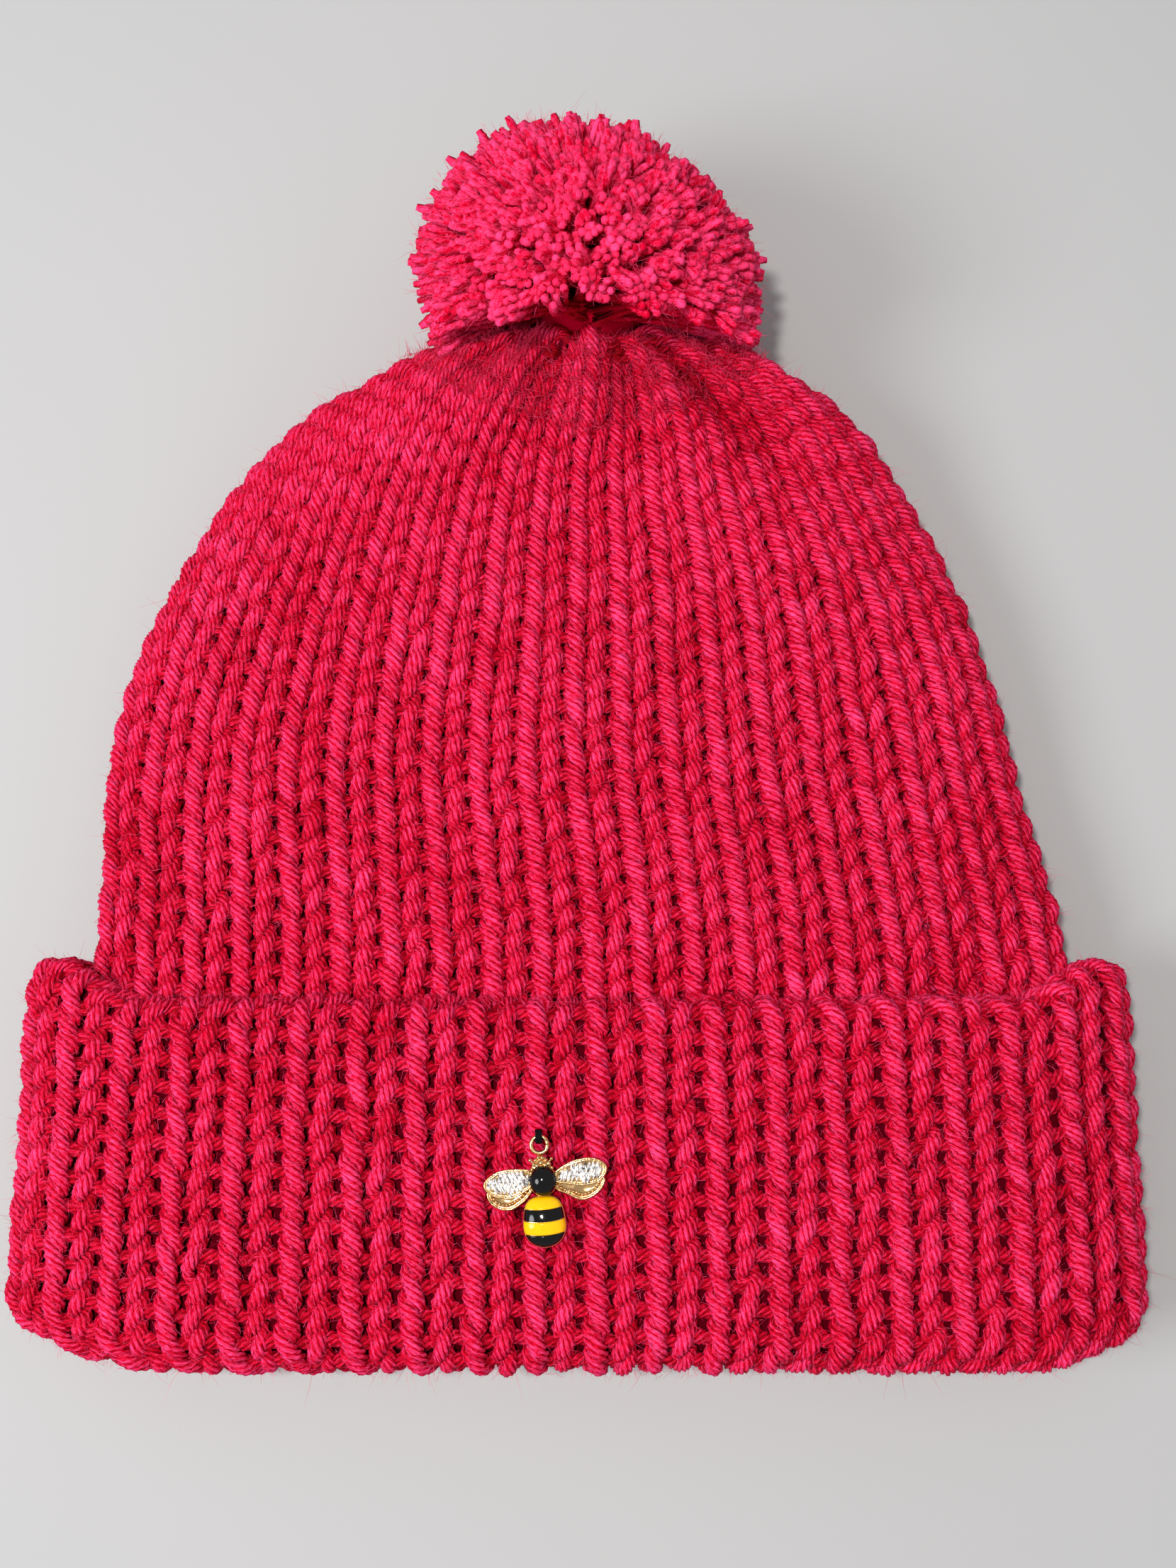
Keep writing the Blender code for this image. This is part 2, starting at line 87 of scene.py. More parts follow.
def smooth(value, low, high):
    """0 below low, 1 above high, and an even ease between them."""
    t = np.clip((np.asarray(value, float) - low) / (high - low), 0.0, 1.0)
    return t * t * (3.0 - 2.0 * t)


def middle_line(y):
    """Where the hat's middle line lies at this distance from the mouth."""
    x = 5.1 * smooth(y, 185, 230) - 4.0 * smooth(y, 84, 136) + 1.4 * smooth(y, 136, 190)
    z = CUFF_HALF_HEIGHT - 2.8 * smooth(y, 80, 126) + 12.0 * smooth(y, 180, 231)
    return x, z


def dome_width(u):
    """The body's half width at u of the way from the cuff to the crown."""
    return BODY_HALF_WIDTH * np.maximum(1.0 - np.clip(u, 0.0, 1.0) ** 2.3, 0.0) ** 0.40


def place(points):
    """Points of the straight hat, in millimetres, to their places in the frame, still in millimetres."""
    points = np.array(points, float)
    across, up = middle_line(points[..., 1])
    points[..., 0] += across
    points[..., 2] += up
    points[..., 1] -= HAT_LENGTH / 2
    return points


# ---------------------------------------------------------------- mesh making

def mesh_object(name, verts, quads, uv=None, tone=None, depth=None, material=None, caps=None):
    """A smooth mesh object from arrays, in millimetres; quads index verts, uv is per corner."""
    mesh = bpy.data.meshes.new(name)
    verts = np.asarray(verts, np.float32) * MM
    quads = np.asarray(quads, np.int32)
    extra = caps or []
    corners = quads.size + sum(len(c) for c in extra)
    mesh.vertices.add(len(verts))
    mesh.vertices.foreach_set("co", verts.ravel())
    mesh.loops.add(corners)
    loop_verts = quads.ravel()
    starts = np.arange(0, quads.size, 4)
    if extra:
        sizes = np.array([len(c) for c in extra])
        loop_verts = np.concatenate([loop_verts, np.concatenate(extra)])
        starts = np.concatenate([starts, quads.size + np.concatenate([[0], np.cumsum(sizes)[:-1]])])
    mesh.loops.foreach_set("vertex_index", loop_verts.astype(np.int32))
    mesh.polygons.add(len(starts))
    mesh.polygons.foreach_set("loop_start", starts.astype(np.int32))
    mesh.update(calc_edges=True)
    mesh.validate()
    if uv is not None:
        layer = mesh.uv_layers.new(name="yarn")
        full = np.zeros((len(mesh.loops), 2), np.float32)
        full[:len(uv)] = uv
        layer.data.foreach_set("uv", full.ravel())
    for label, values in (("tone", tone), ("depth", depth)):
        if values is not None:
            layer = mesh.attributes.new(label, "FLOAT", "POINT")
            layer.data.foreach_set("value", np.asarray(values, np.float32))
    mesh.shade_smooth()
    made = add_object(name, mesh)
    if material:
        mesh.materials.append(material)
    return made


# A ply's outline: turn across the ply and how deep in its groove, for 2, 3 or 1 points on each ply.
PLY_PROFILE = {1: ((0.0, 0.0),), 2: ((0.0, 0.0), (0.5, 1.0)), 3: ((-0.2, 0.0), (0.2, 0.0), (0.5, 1.0))}


def ring_quads(rows, around, wrap=0):
    """Faces between rings of points, each joined to the next; with wrap rings, the last joins the first."""
    i = np.arange(rows)[:, None]
    j = np.arange(around)[None, :]
    i2 = (i + 1) % wrap if wrap else i + 1
    j2 = (j + 1) % around
    return np.stack([i * around + j, i * around + j2, i2 * around + j2, i2 * around + j], -1).reshape(-1, 4)


def add_object(name, data):
    """A new object in the scene."""
    made = bpy.data.objects.new(name, data)
    bpy.context.scene.collection.objects.link(made)
    return made


def belongs(piece, body):
    """Makes a piece ride on a body."""
    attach(piece, body)
    return piece


class Tubes:
    """Collects plied yarn tubes as arrays, then makes one mesh of them."""

    def __init__(self, around, plies, groove=0.28, flat=0.9):
        self.around = around
        phases = np.array(PLY_PROFILE[around // plies])
        self.turns = (np.arange(plies)[:, None] + phases[None, :, 0]).ravel() / plies
        self.angles = self.turns * math.tau
        self.lobe = 1.0 - groove * np.tile(phases[:, 1], plies)
        self.flat = flat
        self.verts, self.quads, self.uvs, self.tones, self.depths, self.caps = [], [], [], [], [], []
        self.count = 0

    def add(self, path, normals, radius, tone, depth, closed, twist, start=0.0):
        """One tube along path; radius and tone may change along it; twist is its plies' turn per mm."""
        n = len(path)
        ahead = np.roll(path, -1, 0) - np.roll(path, 1, 0)
        if not closed:
            ahead[0] = path[1] - path[0]
            ahead[-1] = path[-1] - path[-2]
        tangent = ahead / np.linalg.norm(ahead, axis=1, keepdims=True)
        side = np.cross(tangent, normals)
        side /= np.linalg.norm(side, axis=1, keepdims=True) + 1e-9
        up = np.cross(side, tangent)
        steps = np.linalg.norm(np.diff(path, axis=0, append=path[:1]), axis=1)
        along = np.concatenate([[0.0], np.cumsum(steps[:-1])])
        if closed:
            total = along[-1] + steps[-1]
            twist = round(twist * total / math.tau) * math.tau / total
        turn = start + twist * along
        radius = np.broadcast_to(np.asarray(radius, float), (n,))
        angle = self.angles[None, :] + turn[:, None]
        reach = radius[:, None] * self.lobe[None, :]
        ring = path[:, None, :] + (reach * np.cos(angle))[..., None] * side[:, None, :]
        ring = ring + (reach * np.sin(angle) * self.flat)[..., None] * up[:, None, :]
        k = self.around
        rows = n if closed else n - 1
        quads = ring_quads(rows, k, n) + self.count
        v_low = np.broadcast_to(self.turns, (rows, k))
        v_high = np.broadcast_to(np.append(self.turns[1:], self.turns[0] + 1.0), (rows, k))
        ends = np.append(along, along[-1] + steps[-1])
        u_low = np.broadcast_to(ends[:rows, None], (rows, k))
        u_high = np.broadcast_to(ends[1:rows + 1, None], (rows, k))
        uv = np.stack([
            np.stack([u_low, v_low], -1), np.stack([u_low, v_high], -1),
            np.stack([u_high, v_high], -1), np.stack([u_high, v_low], -1)], 2)
        self.verts.append(ring.reshape(-1, 3))
        self.quads.append(quads)
        self.uvs.append(uv.reshape(-1, 2))
        self.tones.append(np.repeat(np.broadcast_to(np.asarray(tone, float), (n,)), k))
        self.depths.append(np.repeat(np.broadcast_to(np.asarray(depth, float), (n,)), k))
        if not closed:
            self.caps.append(self.count + np.arange(k)[::-1])
            self.caps.append(self.count + (n - 1) * k + np.arange(k))
        self.count += n * k

    def make(self, name, material):
        """The mesh object of everything added, pressed flat where it would go under the floor."""
        verts = np.concatenate(self.verts)
        verts[:, 2] = np.maximum(verts[:, 2], 0.0)
        return mesh_object(
            name, verts, np.concatenate(self.quads), np.concatenate(self.uvs),
            np.concatenate(self.tones), np.concatenate(self.depths), material, self.caps)


# ---------------------------------------------------------------- knitted cloth

def section(half_width, half_height, sharp_x, sharp_z, count):
    """Even points (x, z) round a pillow-shaped section, from mid back by the -X side to the front."""
    angle = np.linspace(0.0, math.tau, 961)
    s, c = np.sin(angle), -np.cos(angle)
    x = -half_width * np.sign(s) * np.abs(s) ** (2.0 / sharp_x)
    z = half_height * np.sign(c) * np.abs(c) ** (2.0 / sharp_z)
    length = np.concatenate([[0.0], np.cumsum(np.hypot(np.diff(x), np.diff(z)))])
    at = np.linspace(0.0, length[-1], count, endpoint=False)
    return np.interp(at, length, x), np.interp(at, length, z)


class Cloth:
    """A tube of cloth as a grid of points: rows along the wales, columns round the tube."""

    COLUMNS = WALES * 6

    def __init__(self, rows, courses):
        rows = np.array(rows)
        count = max(int(courses * 4), 8)
        resampled = np.empty((count + 1, rows.shape[1], 3))
        for j in range(rows.shape[1]):
            line = rows[:, j]
            length = np.concatenate([[0.0], np.cumsum(np.linalg.norm(np.diff(line, axis=0), axis=1))])
            at = np.linspace(0.0, length[-1], count + 1)
            for axis in range(3):
                resampled[:, j, axis] = np.interp(at, length, line[:, axis])
        self.points = resampled
        self.courses = courses
        across = np.roll(resampled, -1, 1) - np.roll(resampled, 1, 1)
        along = np.gradient(resampled, axis=0)
        normal = np.cross(across, along)
        self.normals = normal / (np.linalg.norm(normal, axis=2, keepdims=True) + 1e-9)

    def at(self, wale, course, height):
        """Points and outward normals at these wales, courses and heights over the cloth's middle."""
        rows = self.points.shape[0] - 1
        fi = np.clip(course / self.courses, 0.0, 1.0) * rows
        i = np.minimum(fi.astype(int), rows - 1)
        fi = (fi - i)[..., None]
        fj = (wale % WALES) / WALES * self.COLUMNS
        j = fj.astype(int) % self.COLUMNS
        fj = (fj - np.floor(fj))[..., None]
        j2 = (j + 1) % self.COLUMNS

        def blend(grid):
            low = grid[i, j] * (1 - fj) + grid[i, j2] * fj
            high = grid[i + 1, j] * (1 - fj) + grid[i + 1, j2] * fj
            return low * (1 - fi) + high * fi

        normal = blend(self.normals)
        normal /= np.linalg.norm(normal, axis=-1, keepdims=True) + 1e-9
        return blend(self.points) + normal * height[..., None], normal


# One stitch's yarn, from the sinker on its left to the next one: across in wales, up in courses,
# out in mm, thickness. The left leg is the proud one, and the right one lies deeper.
STITCH = (
    (0.00, -0.02, -0.25, 1.06), (0.15, -0.10, -0.45, 1.00), (0.31, -0.02, -0.45, 0.95),
    (0.395, 0.28, 0.35, 1.00), (0.335, 0.70, 1.05, 1.14), (0.270, 1.08, 0.85, 1.10),
    (0.205, 1.42, -0.05, 0.98), (0.30, 1.70, -0.70, 0.96), (0.54, 1.80, -0.60, 1.06),
    (0.74, 1.74, -0.75, 0.98), (0.870, 1.45, -0.45, 0.90), (0.860, 1.12, 0.35, 1.00),
    (0.795, 0.78, 0.85, 1.08), (0.725, 0.44, 0.45, 0.98), (0.680, 0.10, -0.45, 0.92),
    (0.85, -0.04, -0.45, 1.00))
STITCH_STEPS = (1, 1, 2, 2, 2, 2, 2, 1, 1, 1, 2, 2, 2, 2, 1, 1)


def between(p0, p1, p2, p3, t):
    """A point on the smooth curve from p1 to p2."""
    return 0.5 * ((2 * p1) + (p2 - p0) * t + (2 * p0 - 5 * p1 + 4 * p2 - p3) * t * t
                  + (3 * p1 - p0 - 3 * p2 + p3) * t ** 3)


def stitch_curve():
    """A smooth curve through the stitch's points, which goes on one wale further along."""
    points = np.array(STITCH)
    shift = np.array([1.0, 0.0, 0.0, 0.0])
    padded = np.vstack([points[-1] - shift, points, points[0] + shift, points[1] + shift])
    out = []
    for k, pieces in enumerate(STITCH_STEPS):
        p0, p1, p2, p3 = padded[k:k + 4]
        for s in range(pieces):
            out.append(between(p0, p1, p2, p3, s / pieces))
    return np.array(out)


def knit(cloth, name, first, last, material, rng, body, pleat=None, around=18):
    """Rows of stitches on a cloth, split into pieces small enough to keep every face."""
    shape = stitch_curve()
    per = len(shape)
    rows_per_piece = max(1, MOST_TRIANGLES // (WALES * per * around * 2))
    loose = np.tile(np.clip(shape[:, 2] + 0.6, 0.0, 1.0), WALES)
    made = []
    for row in range(first, last, rows_per_piece):
        tubes = Tubes(around, PLIES)
        for course in range(row, min(row + rows_per_piece, last)):
            jitter = rng.normal(size=(WALES, 6))
            spread = np.repeat(jitter, per, axis=0)
            wale = np.repeat(np.arange(WALES), per)
            right_leg = np.tile(smooth(shape[:, 0], 0.45, 0.6), WALES)
            x = (wale + np.tile(shape[:, 0], WALES) + 0.022 * spread[:, 0] * loose
                 + 0.02 * spread[:, 4] * loose * right_leg)
            y = course + np.tile(shape[:, 1], WALES) + 0.07 * spread[:, 1] * loose
            z = np.tile(shape[:, 2], WALES) + 0.16 * spread[:, 2] + 0.25 * spread[:, 5] * right_leg * loose
            sink = pleat(x, y) if pleat is not None else 0.0
            tight = smooth(y, cloth.courses - 10, cloth.courses - 1) if pleat is not None else 0.0
            path, normals = cloth.at(x, y, z + sink)
            tone = 0.5 + 0.10 * spread[:, 3]
            uneven = 1.0 + 0.05 * np.repeat(rng.normal(size=WALES), per)
            radius = YARN * np.tile(shape[:, 3], WALES) * uneven
            radius = radius * (1.0 - 0.26 * tight)
            # Painted shade: yarn lying deeper in the stitch, sunk in the crown's creases or gathered at the
            # crown gets a lower depth value, which the yarn colour turns darker.
            depth = (0.5 + 0.3 * np.tile(shape[:, 2], WALES) + 0.07 * np.broadcast_to(sink, z.shape)
                     - 0.05 * tight)
            tubes.add(path, normals, radius, tone, depth, True, math.tau / TWIST_PITCH, rng.uniform(0, 6))
        piece = tubes.make(f"{name}_{len(made) + 1}", material)
        made.append(belongs(piece, body))
    return made


def body_rows():
    """Sections of the outer layer from under the cuff to the gathered crown."""
    rows = []
    depth = CLOTH_DEPTH
    for y in np.linspace(BODY_FROM, DOME_FROM, 4)[:-1]:
        rows.append(ring_at(y, BODY_HALF_WIDTH + 2.8 - depth, BODY_HALF_HEIGHT + 1.0 - depth))
    for s in np.linspace(0.0, 1.0, 91):
        u = min(1.0 - (1.0 - s) ** 2 * (1.0 + s * 0.35), 0.9985)
        y = DOME_FROM + u * (DOME_LENGTH - depth)
        grow = 4.5 * smooth(y, 76, 141) - 3.0 * smooth(y, 190, DOME_FROM + DOME_LENGTH)
        swell = (2.8 - 1.1 * smooth(y, 84, 112)) * (1.0 - smooth(y, 200, 226))
        width = dome_width(u) * (1.0 - depth / BODY_HALF_WIDTH) + swell
        rows.append(ring_at(y, width, BODY_HALF_HEIGHT + 1.0 + grow - depth))
    return rows


def ring_at(y, half_width, half_height):
    """One section of the body, pillow-shaped, in place."""
    half_height = min(half_height, half_width)
    roundness = half_height / half_width
    x, z = section(half_width, half_height, 2.7 - 0.7 * roundness, 2.3 - 0.3 * roundness, Cloth.COLUMNS)
    return place(np.stack([x, np.full_like(x, y), z], -1))


def cuff_rows():
    """Sections of the cuff's facing: out of the cavity, round the mouth, up the outside, over the top."""
    path = [(y, 1.8) for y in np.linspace(46.0, 10.0, 10)]
    for k in range(1, 16):
        angle = math.radians(270 - 180 * k / 16)
        path.append((8.85 + 6.6 * math.cos(angle), 7.4 + 5.6 * math.sin(angle)))
    path += [(y, 13.0) for y in np.linspace(10.0, 70.5, 20)]
    top, roll = 72.8, 3.9
    for k in range(1, 14):
        angle = math.radians(90 - 190 * k / 14)
        path.append((top + roll * math.cos(angle) * 1.15, 9.3 + roll * math.sin(angle)))
    path += [(y, 5.5) for y in np.linspace(69.0, 60.0, 5)]
    rows = []
    for y, offset in path:
        half_height = CAVITY_HALF + offset
        half_width = CUFF_ARC_X + half_height - 2.2 * smooth(y, 10, 85)
        sharp = 3.0 + 2.0 * half_height / CUFF_HALF_HEIGHT
        x, z = section(half_width, half_height, sharp, 2.4, Cloth.COLUMNS)
        lift = EAR_RISE * smooth(y, 20, 74) * smooth(np.abs(x), 94, 114)
        corner = (6.0 * smooth(np.abs(x), 98, 124) + 2.0 * smooth(-x, 76, 115)) * smooth(y, 42, 0)
        rows.append(place(np.stack([x, y + lift + corner, z], -1)))
    return rows


def lining_rows():
    """Sections of the lining inside the hat, facing the cavity."""
    rows = []
    for y in np.linspace(152.0, 47.0, 24):
        half_height = CAVITY_HALF + 1.8 + 2.4 * smooth(y, 80, 141)
        half_width = min(CUFF_ARC_X + half_height - 3.0, dome_width((y - DOME_FROM) / DOME_LENGTH) - 6.0)
        x, z = section(half_width, half_height, 3.0, 2.2, Cloth.COLUMNS)
        rows.append(place(np.stack([-x, np.full_like(x, y), z], -1)))
    return rows


def crown_pleats(courses):
    """How deep the cloth sinks between the gathers near the crown."""
    rng = np.random.default_rng(SEED)
    count = 14
    phases = rng.uniform(-0.7, 0.7, 4)

    def sink(wale, course):
        turn = wale / WALES * math.tau
        wave = np.cos(count * turn + phases[0] + 0.8 * np.sin(3 * turn + phases[1]))
        amount = smooth(course, courses - 8.0, courses - 1.0)
        crease = np.exp(-((wale - 23.2 - 0.33 * (courses - course)) / 0.75) ** 2)
        crease = crease * smooth(course, courses - 12, courses - 6)
        bumps = (0.35 * np.sin(5 * turn + 0.31 * course + phases[2])
                 + 0.3 * np.sin(9 * turn - 0.45 * course + phases[3]))
        return -2.6 * amount * (1.0 - wave) - 4.6 * crease + bumps

    return sink


def shade_sheet(cloth, name, sink, pleat, material, body):
    """A dark sheet under the cloth, seen only through the holes between stitches: painted shade for the holes,
    so that nothing shows through them.
    """
    rows = 60
    wale = np.arange(WALES * 2) / 2.0
    course = np.linspace(0.0, 1.0, rows) * cloth.courses
    grid_w, grid_c = np.meshgrid(wale, course)
    height = np.full_like(grid_w, sink)
    if pleat is not None:
        height = height + pleat(grid_w, grid_c)
    points, _ = cloth.at(grid_w, grid_c, height)
    k = len(wale)
    made = mesh_object(name, points.reshape(-1, 3), ring_quads(rows - 1, k), material=material)
    return belongs(made, body)


# ---------------------------------------------------------------- materials

def new_material(name):
    """A material, its shader, and its tree's nodes and links."""
    made = bpy.data.materials.new(name)
    made.use_nodes = True
    tree = made.node_tree
    return made, tree.nodes["Principled BSDF"], tree.nodes, tree.links


def math_node(nodes, links, operation, *values):
    """A math node fed by sockets or numbers."""
    made = nodes.new("ShaderNodeMath")
    made.operation = operation
    for k, value in enumerate(values):
        if hasattr(value, "links"):
            links.new(value, made.inputs[k])
        else:
            made.inputs[k].default_value = value
    return made.outputs[0]


def ramp_node(nodes, links, factor, *stops):
    """A colour ramp with (position, colour) stops."""
    made = nodes.new("ShaderNodeValToRGB")
    elements = made.color_ramp.elements
    elements[0].position, elements[0].color = stops[0]
    elements[1].position, elements[1].color = stops[-1]
    for position, colour in stops[1:-1]:
        elements.new(position).color = colour
    links.new(factor, made.inputs["Fac"])
    return made.outputs["Color"]


def attribute(nodes, name):
    """A point attribute's value."""
    made = nodes.new("ShaderNodeAttribute")
    made.attribute_name = name
    return made.outputs["Fac"]


def yarn_material(name, dark, mid, light, plies=PLIES):
    """Plied acrylic yarn: fibres along the plies, with painted shade (deeper red) in the ply grooves and in
    deep-lying yarn, and painted light (paler pink) on proud crests, mixed with random tone and fibre streaks.
    """
    made, shader, nodes, links = new_material(name)
    uv = nodes.new("ShaderNodeUVMap")
    uv.uv_map = "yarn"
    stretch = nodes.new("ShaderNodeMapping")
    stretch.inputs["Scale"].default_value = (1.0, 7.0 * plies, 1.0)
    links.new(uv.outputs["UV"], stretch.inputs["Vector"])
    fibres = nodes.new("ShaderNodeTexNoise")
    fibres.inputs["Scale"].default_value = 1.0
    fibres.inputs["Detail"].default_value = 3.0
    fibres.inputs["Roughness"].default_value = 0.65
    fibres.inputs["Distortion"].default_value = 0.6
    links.new(stretch.outputs["Vector"], fibres.inputs["Vector"])
    split = nodes.new("ShaderNodeSeparateXYZ")
    links.new(uv.outputs["UV"], split.inputs["Vector"])
    ply = math_node(nodes, links, "MULTIPLY", split.outputs["Y"], plies)
    phase = math_node(nodes, links, "PINGPONG", ply, 0.5)
    groove = math_node(nodes, links, "POWER", math_node(nodes, links, "MULTIPLY", phase, 2.0), 3.0)
    fibre = math_node(nodes, links, "MULTIPLY_ADD", fibres.outputs["Fac"], 2.6, -1.3)
    # Painted shade and light: the depth value darkens yarn lying deep in the cloth and lightens proud yarn.
    body = math_node(nodes, links, "MULTIPLY_ADD", attribute(nodes, "depth"), 0.72, -0.16)
    body = math_node(nodes, links, "MULTIPLY_ADD", attribute(nodes, "tone"), 0.5, body)
    body = math_node(nodes, links, "ADD", body, fibre)
    # Painted shade in the ply grooves.
    body = math_node(nodes, links, "MULTIPLY_ADD", groove, -0.55, body)
    colour = ramp_node(nodes, links, body, (0.0, dark), (0.45, mid), (0.98, light))
    links.new(colour, shader.inputs["Base Color"])
    shader.inputs["Roughness"].default_value = 0.60
    shader.inputs["Sheen Weight"].default_value = 0.02
    shader.inputs["Sheen Roughness"].default_value = 0.5
    shader.inputs["Sheen Tint"].default_value = (1.0, 0.15, 0.4, 1.0)
    shader.inputs["Specular IOR Level"].default_value = 0.05
    height = math_node(nodes, links, "MULTIPLY_ADD", groove, -0.8, fibres.outputs["Fac"])
    bump = nodes.new("ShaderNodeBump")
    bump.inputs["Strength"].default_value = 0.55
    bump.inputs["Distance"].default_value = 0.0005
    links.new(height, bump.inputs["Height"])
    links.new(bump.outputs["Normal"], shader.inputs["Normal"])
    return made


def painted_shade_material(name, dark, light):
    """A dark red surface seen only between stitches and strands: painted shade, not the yarn's own colour."""
    made, shader, nodes, links = new_material(name)
    noise = nodes.new("ShaderNodeTexNoise")
    noise.inputs["Scale"].default_value = 420.0
    ramp = nodes.new("ShaderNodeValToRGB")
    ramp.color_ramp.elements[0].color = dark
    ramp.color_ramp.elements[1].color = light
    links.new(noise.outputs["Fac"], ramp.inputs["Fac"])
    links.new(ramp.outputs["Color"], shader.inputs["Base Color"])
    shader.inputs["Roughness"].default_value = 0.95
    shader.inputs["Specular IOR Level"].default_value = 0.03
    return made


# ---------------------------------------------------------------- stage

def stage():
    """Pale floor, soft light and the camera."""
    mesh = bpy.data.meshes.new("floor")
    size = FLOOR_HALF_WIDTH
    corners = [(-size, -size, 0), (size, -size, 0), (size, size, 0), (-size, size, 0)]
    mesh.from_pydata(corners, [], [(0, 1, 2, 3)])
    floor = add_object("floor", mesh)
    floor.location.z = -0.0002
    paint, shader, _, _ = new_material("floor_paint")
    shader.inputs["Base Color"].default_value = (0.46, 0.455, 0.45, 1.0)
    shader.inputs["Roughness"].default_value = 0.9
    mesh.materials.append(paint)

    target = Vector(CAMERA_TARGET)
    elevation = math.radians(CAMERA_ELEVATION)
    back = Vector((0.0, -math.cos(elevation), math.sin(elevation)))
    camera_data = bpy.data.cameras.new("camera")
    camera = add_object("camera", camera_data)
    camera.location = target + back * CAMERA_DISTANCE
    camera.rotation_euler = (-back).to_track_quat("-Z", "Y").to_euler()
    camera_data.sensor_fit = "VERTICAL"
    camera_data.sensor_height = SENSOR_HEIGHT
    camera_data.lens = SENSOR_HEIGHT / 2 / (FRAME_HEIGHT / 2 / CAMERA_DISTANCE)
    camera_data.clip_start = 0.01
    bpy.context.scene.camera = camera

    area_light("flash", (-0.10, -0.02, 0.75), 0.05, 3.6, (1.0, 0.97, 0.94))
    area_light("window", (-0.75, -0.20, 0.85), 0.50, 7.5, (0.93, 0.96, 1.0))
    world = bpy.data.worlds.new("world")
    bpy.context.scene.world = world
    world.use_nodes = True
    world.node_tree.nodes["Background"].inputs["Color"].default_value = (0.9, 0.92, 0.95, 1.0)
    world.node_tree.nodes["Background"].inputs["Strength"].default_value = 0.50


def area_light(name, where, size, power, colour):
    """A soft round light that looks at the hat."""
    data = bpy.data.lights.new(name, "AREA")
    data.shape = "DISK"
    data.size = size
    data.energy = power
    data.color = colour
    made = add_object(name, data)
    made.location = where
    made.rotation_euler = (-Vector(where)).to_track_quat("-Z", "Y").to_euler()


# ---------------------------------------------------------------- the hat

def hat(pink, dark, fuzz):
    """Body, cuff and lining in yarn."""
    rng = np.random.default_rng(SEED)
    outer = Cloth(body_rows(), BODY_COURSES)
    pleats = crown_pleats(BODY_COURSES)
    pieces = knit(outer, "body_knit", 0, BODY_COURSES - 1, pink, rng, "hat", pleat=pleats)
    # A dark sheet under each cloth: painted shade seen through the holes between stitches.
    shade_sheet(outer, "body_shade_sheet", -2.4, pleats, dark, "hat")
    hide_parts("outer_body")
    cuff = Cloth(cuff_rows(), CUFF_COURSES)
    pieces = knit(cuff, "cuff_knit", 0, CUFF_COURSES - 1, pink, rng, "hat")
    back = shade_sheet(cuff, "cuff_shade_sheet", -2.4, None, dark, "hat")
    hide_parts("cuff_facing")
    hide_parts("cuff_inner_layer")
    inner = Cloth(lining_rows(), LINING_COURSES)
    pieces = knit(inner, "lining_knit", 0, LINING_COURSES - 1, pink, rng, "hat", around=6)
    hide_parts("body_lining")
    shade_sheet(inner, "lining_shade_sheet", -2.0, None, dark, "hat")
    # The crown's loose fibres take darker tones: painted shade round the gathers under the pom-pom.
    knit_fuzz(outer, "crown_fuzz", 14000, (BODY_COURSES - 5, BODY_COURSES - 1), rng, fuzz, pleats,
              radius=0.075, tones=(0.2, 0.5))
    for part in (1, 2):
        knit_fuzz(outer, f"body_fuzz_{part}", 13500, (6, BODY_COURSES - 1), rng, fuzz, pleats)
        knit_fuzz(cuff, f"cuff_fuzz_{part}", 10500, (6, CUFF_COURSES - 2), rng, fuzz)


# ---------------------------------------------------------------- pom-pom

def unit(vectors):
    """Vectors of length one."""
    return vectors / (np.linalg.norm(vectors, axis=-1, keepdims=True) + 1e-9)


def sphere_directions(count):
    """Evenly spread directions."""
    k = np.arange(count) + 0.5
    polar = np.arccos(1.0 - 2.0 * k / count)
    turn = math.pi * (1.0 + 5.0 ** 0.5) * k
    return np.stack([np.sin(polar) * np.cos(turn), np.cos(polar), np.sin(polar) * np.sin(turn)], -1)


def hairs(name, starts, ways, lengths, rng, material, body, radius=0.05, tones=(0.3, 0.9)):
    """Fine loose fibres, each a thin three-sided spike with a bend in it."""
    count = len(starts)
    ways = unit(ways)
    bend = rng.normal(size=(count, 3)) * 0.35
    steps = np.array([0.0, 0.5, 1.0])
    reach = lengths[:, None, None] * (steps[None, :, None] * ways[:, None, :]
                                      + steps[None, :, None] ** 2 * bend[:, None, :])
    line = starts[:, None, :] + reach
    side = unit(np.cross(ways, rng.normal(size=(count, 3))))
    other = np.cross(ways, side)
    thin = radius * np.array([1.0, 0.8, 0.2])
    turn = np.arange(3) * math.tau / 3
    ring = (np.cos(turn)[None, None, :, None] * side[:, None, None, :]
            + np.sin(turn)[None, None, :, None] * other[:, None, None, :])
    verts = line[:, :, None, :] + ring * thin[None, :, None, None]
    verts[..., 2] = np.maximum(verts[..., 2], 0.0)
    base = np.arange(count)[:, None, None] * 9
    i = np.arange(2)[None, :, None] * 3
    j = np.arange(3)[None, None, :]
    j2 = (j + 1) % 3
    quads = np.stack([base + i + j, base + i + j2, base + i + 3 + j2, base + i + 3 + j], -1).reshape(-1, 4)
    tone = np.repeat(rng.uniform(*tones, count), 9)
    return belongs(mesh_object(name, verts.reshape(-1, 3), quads, tone=tone, material=material), body)


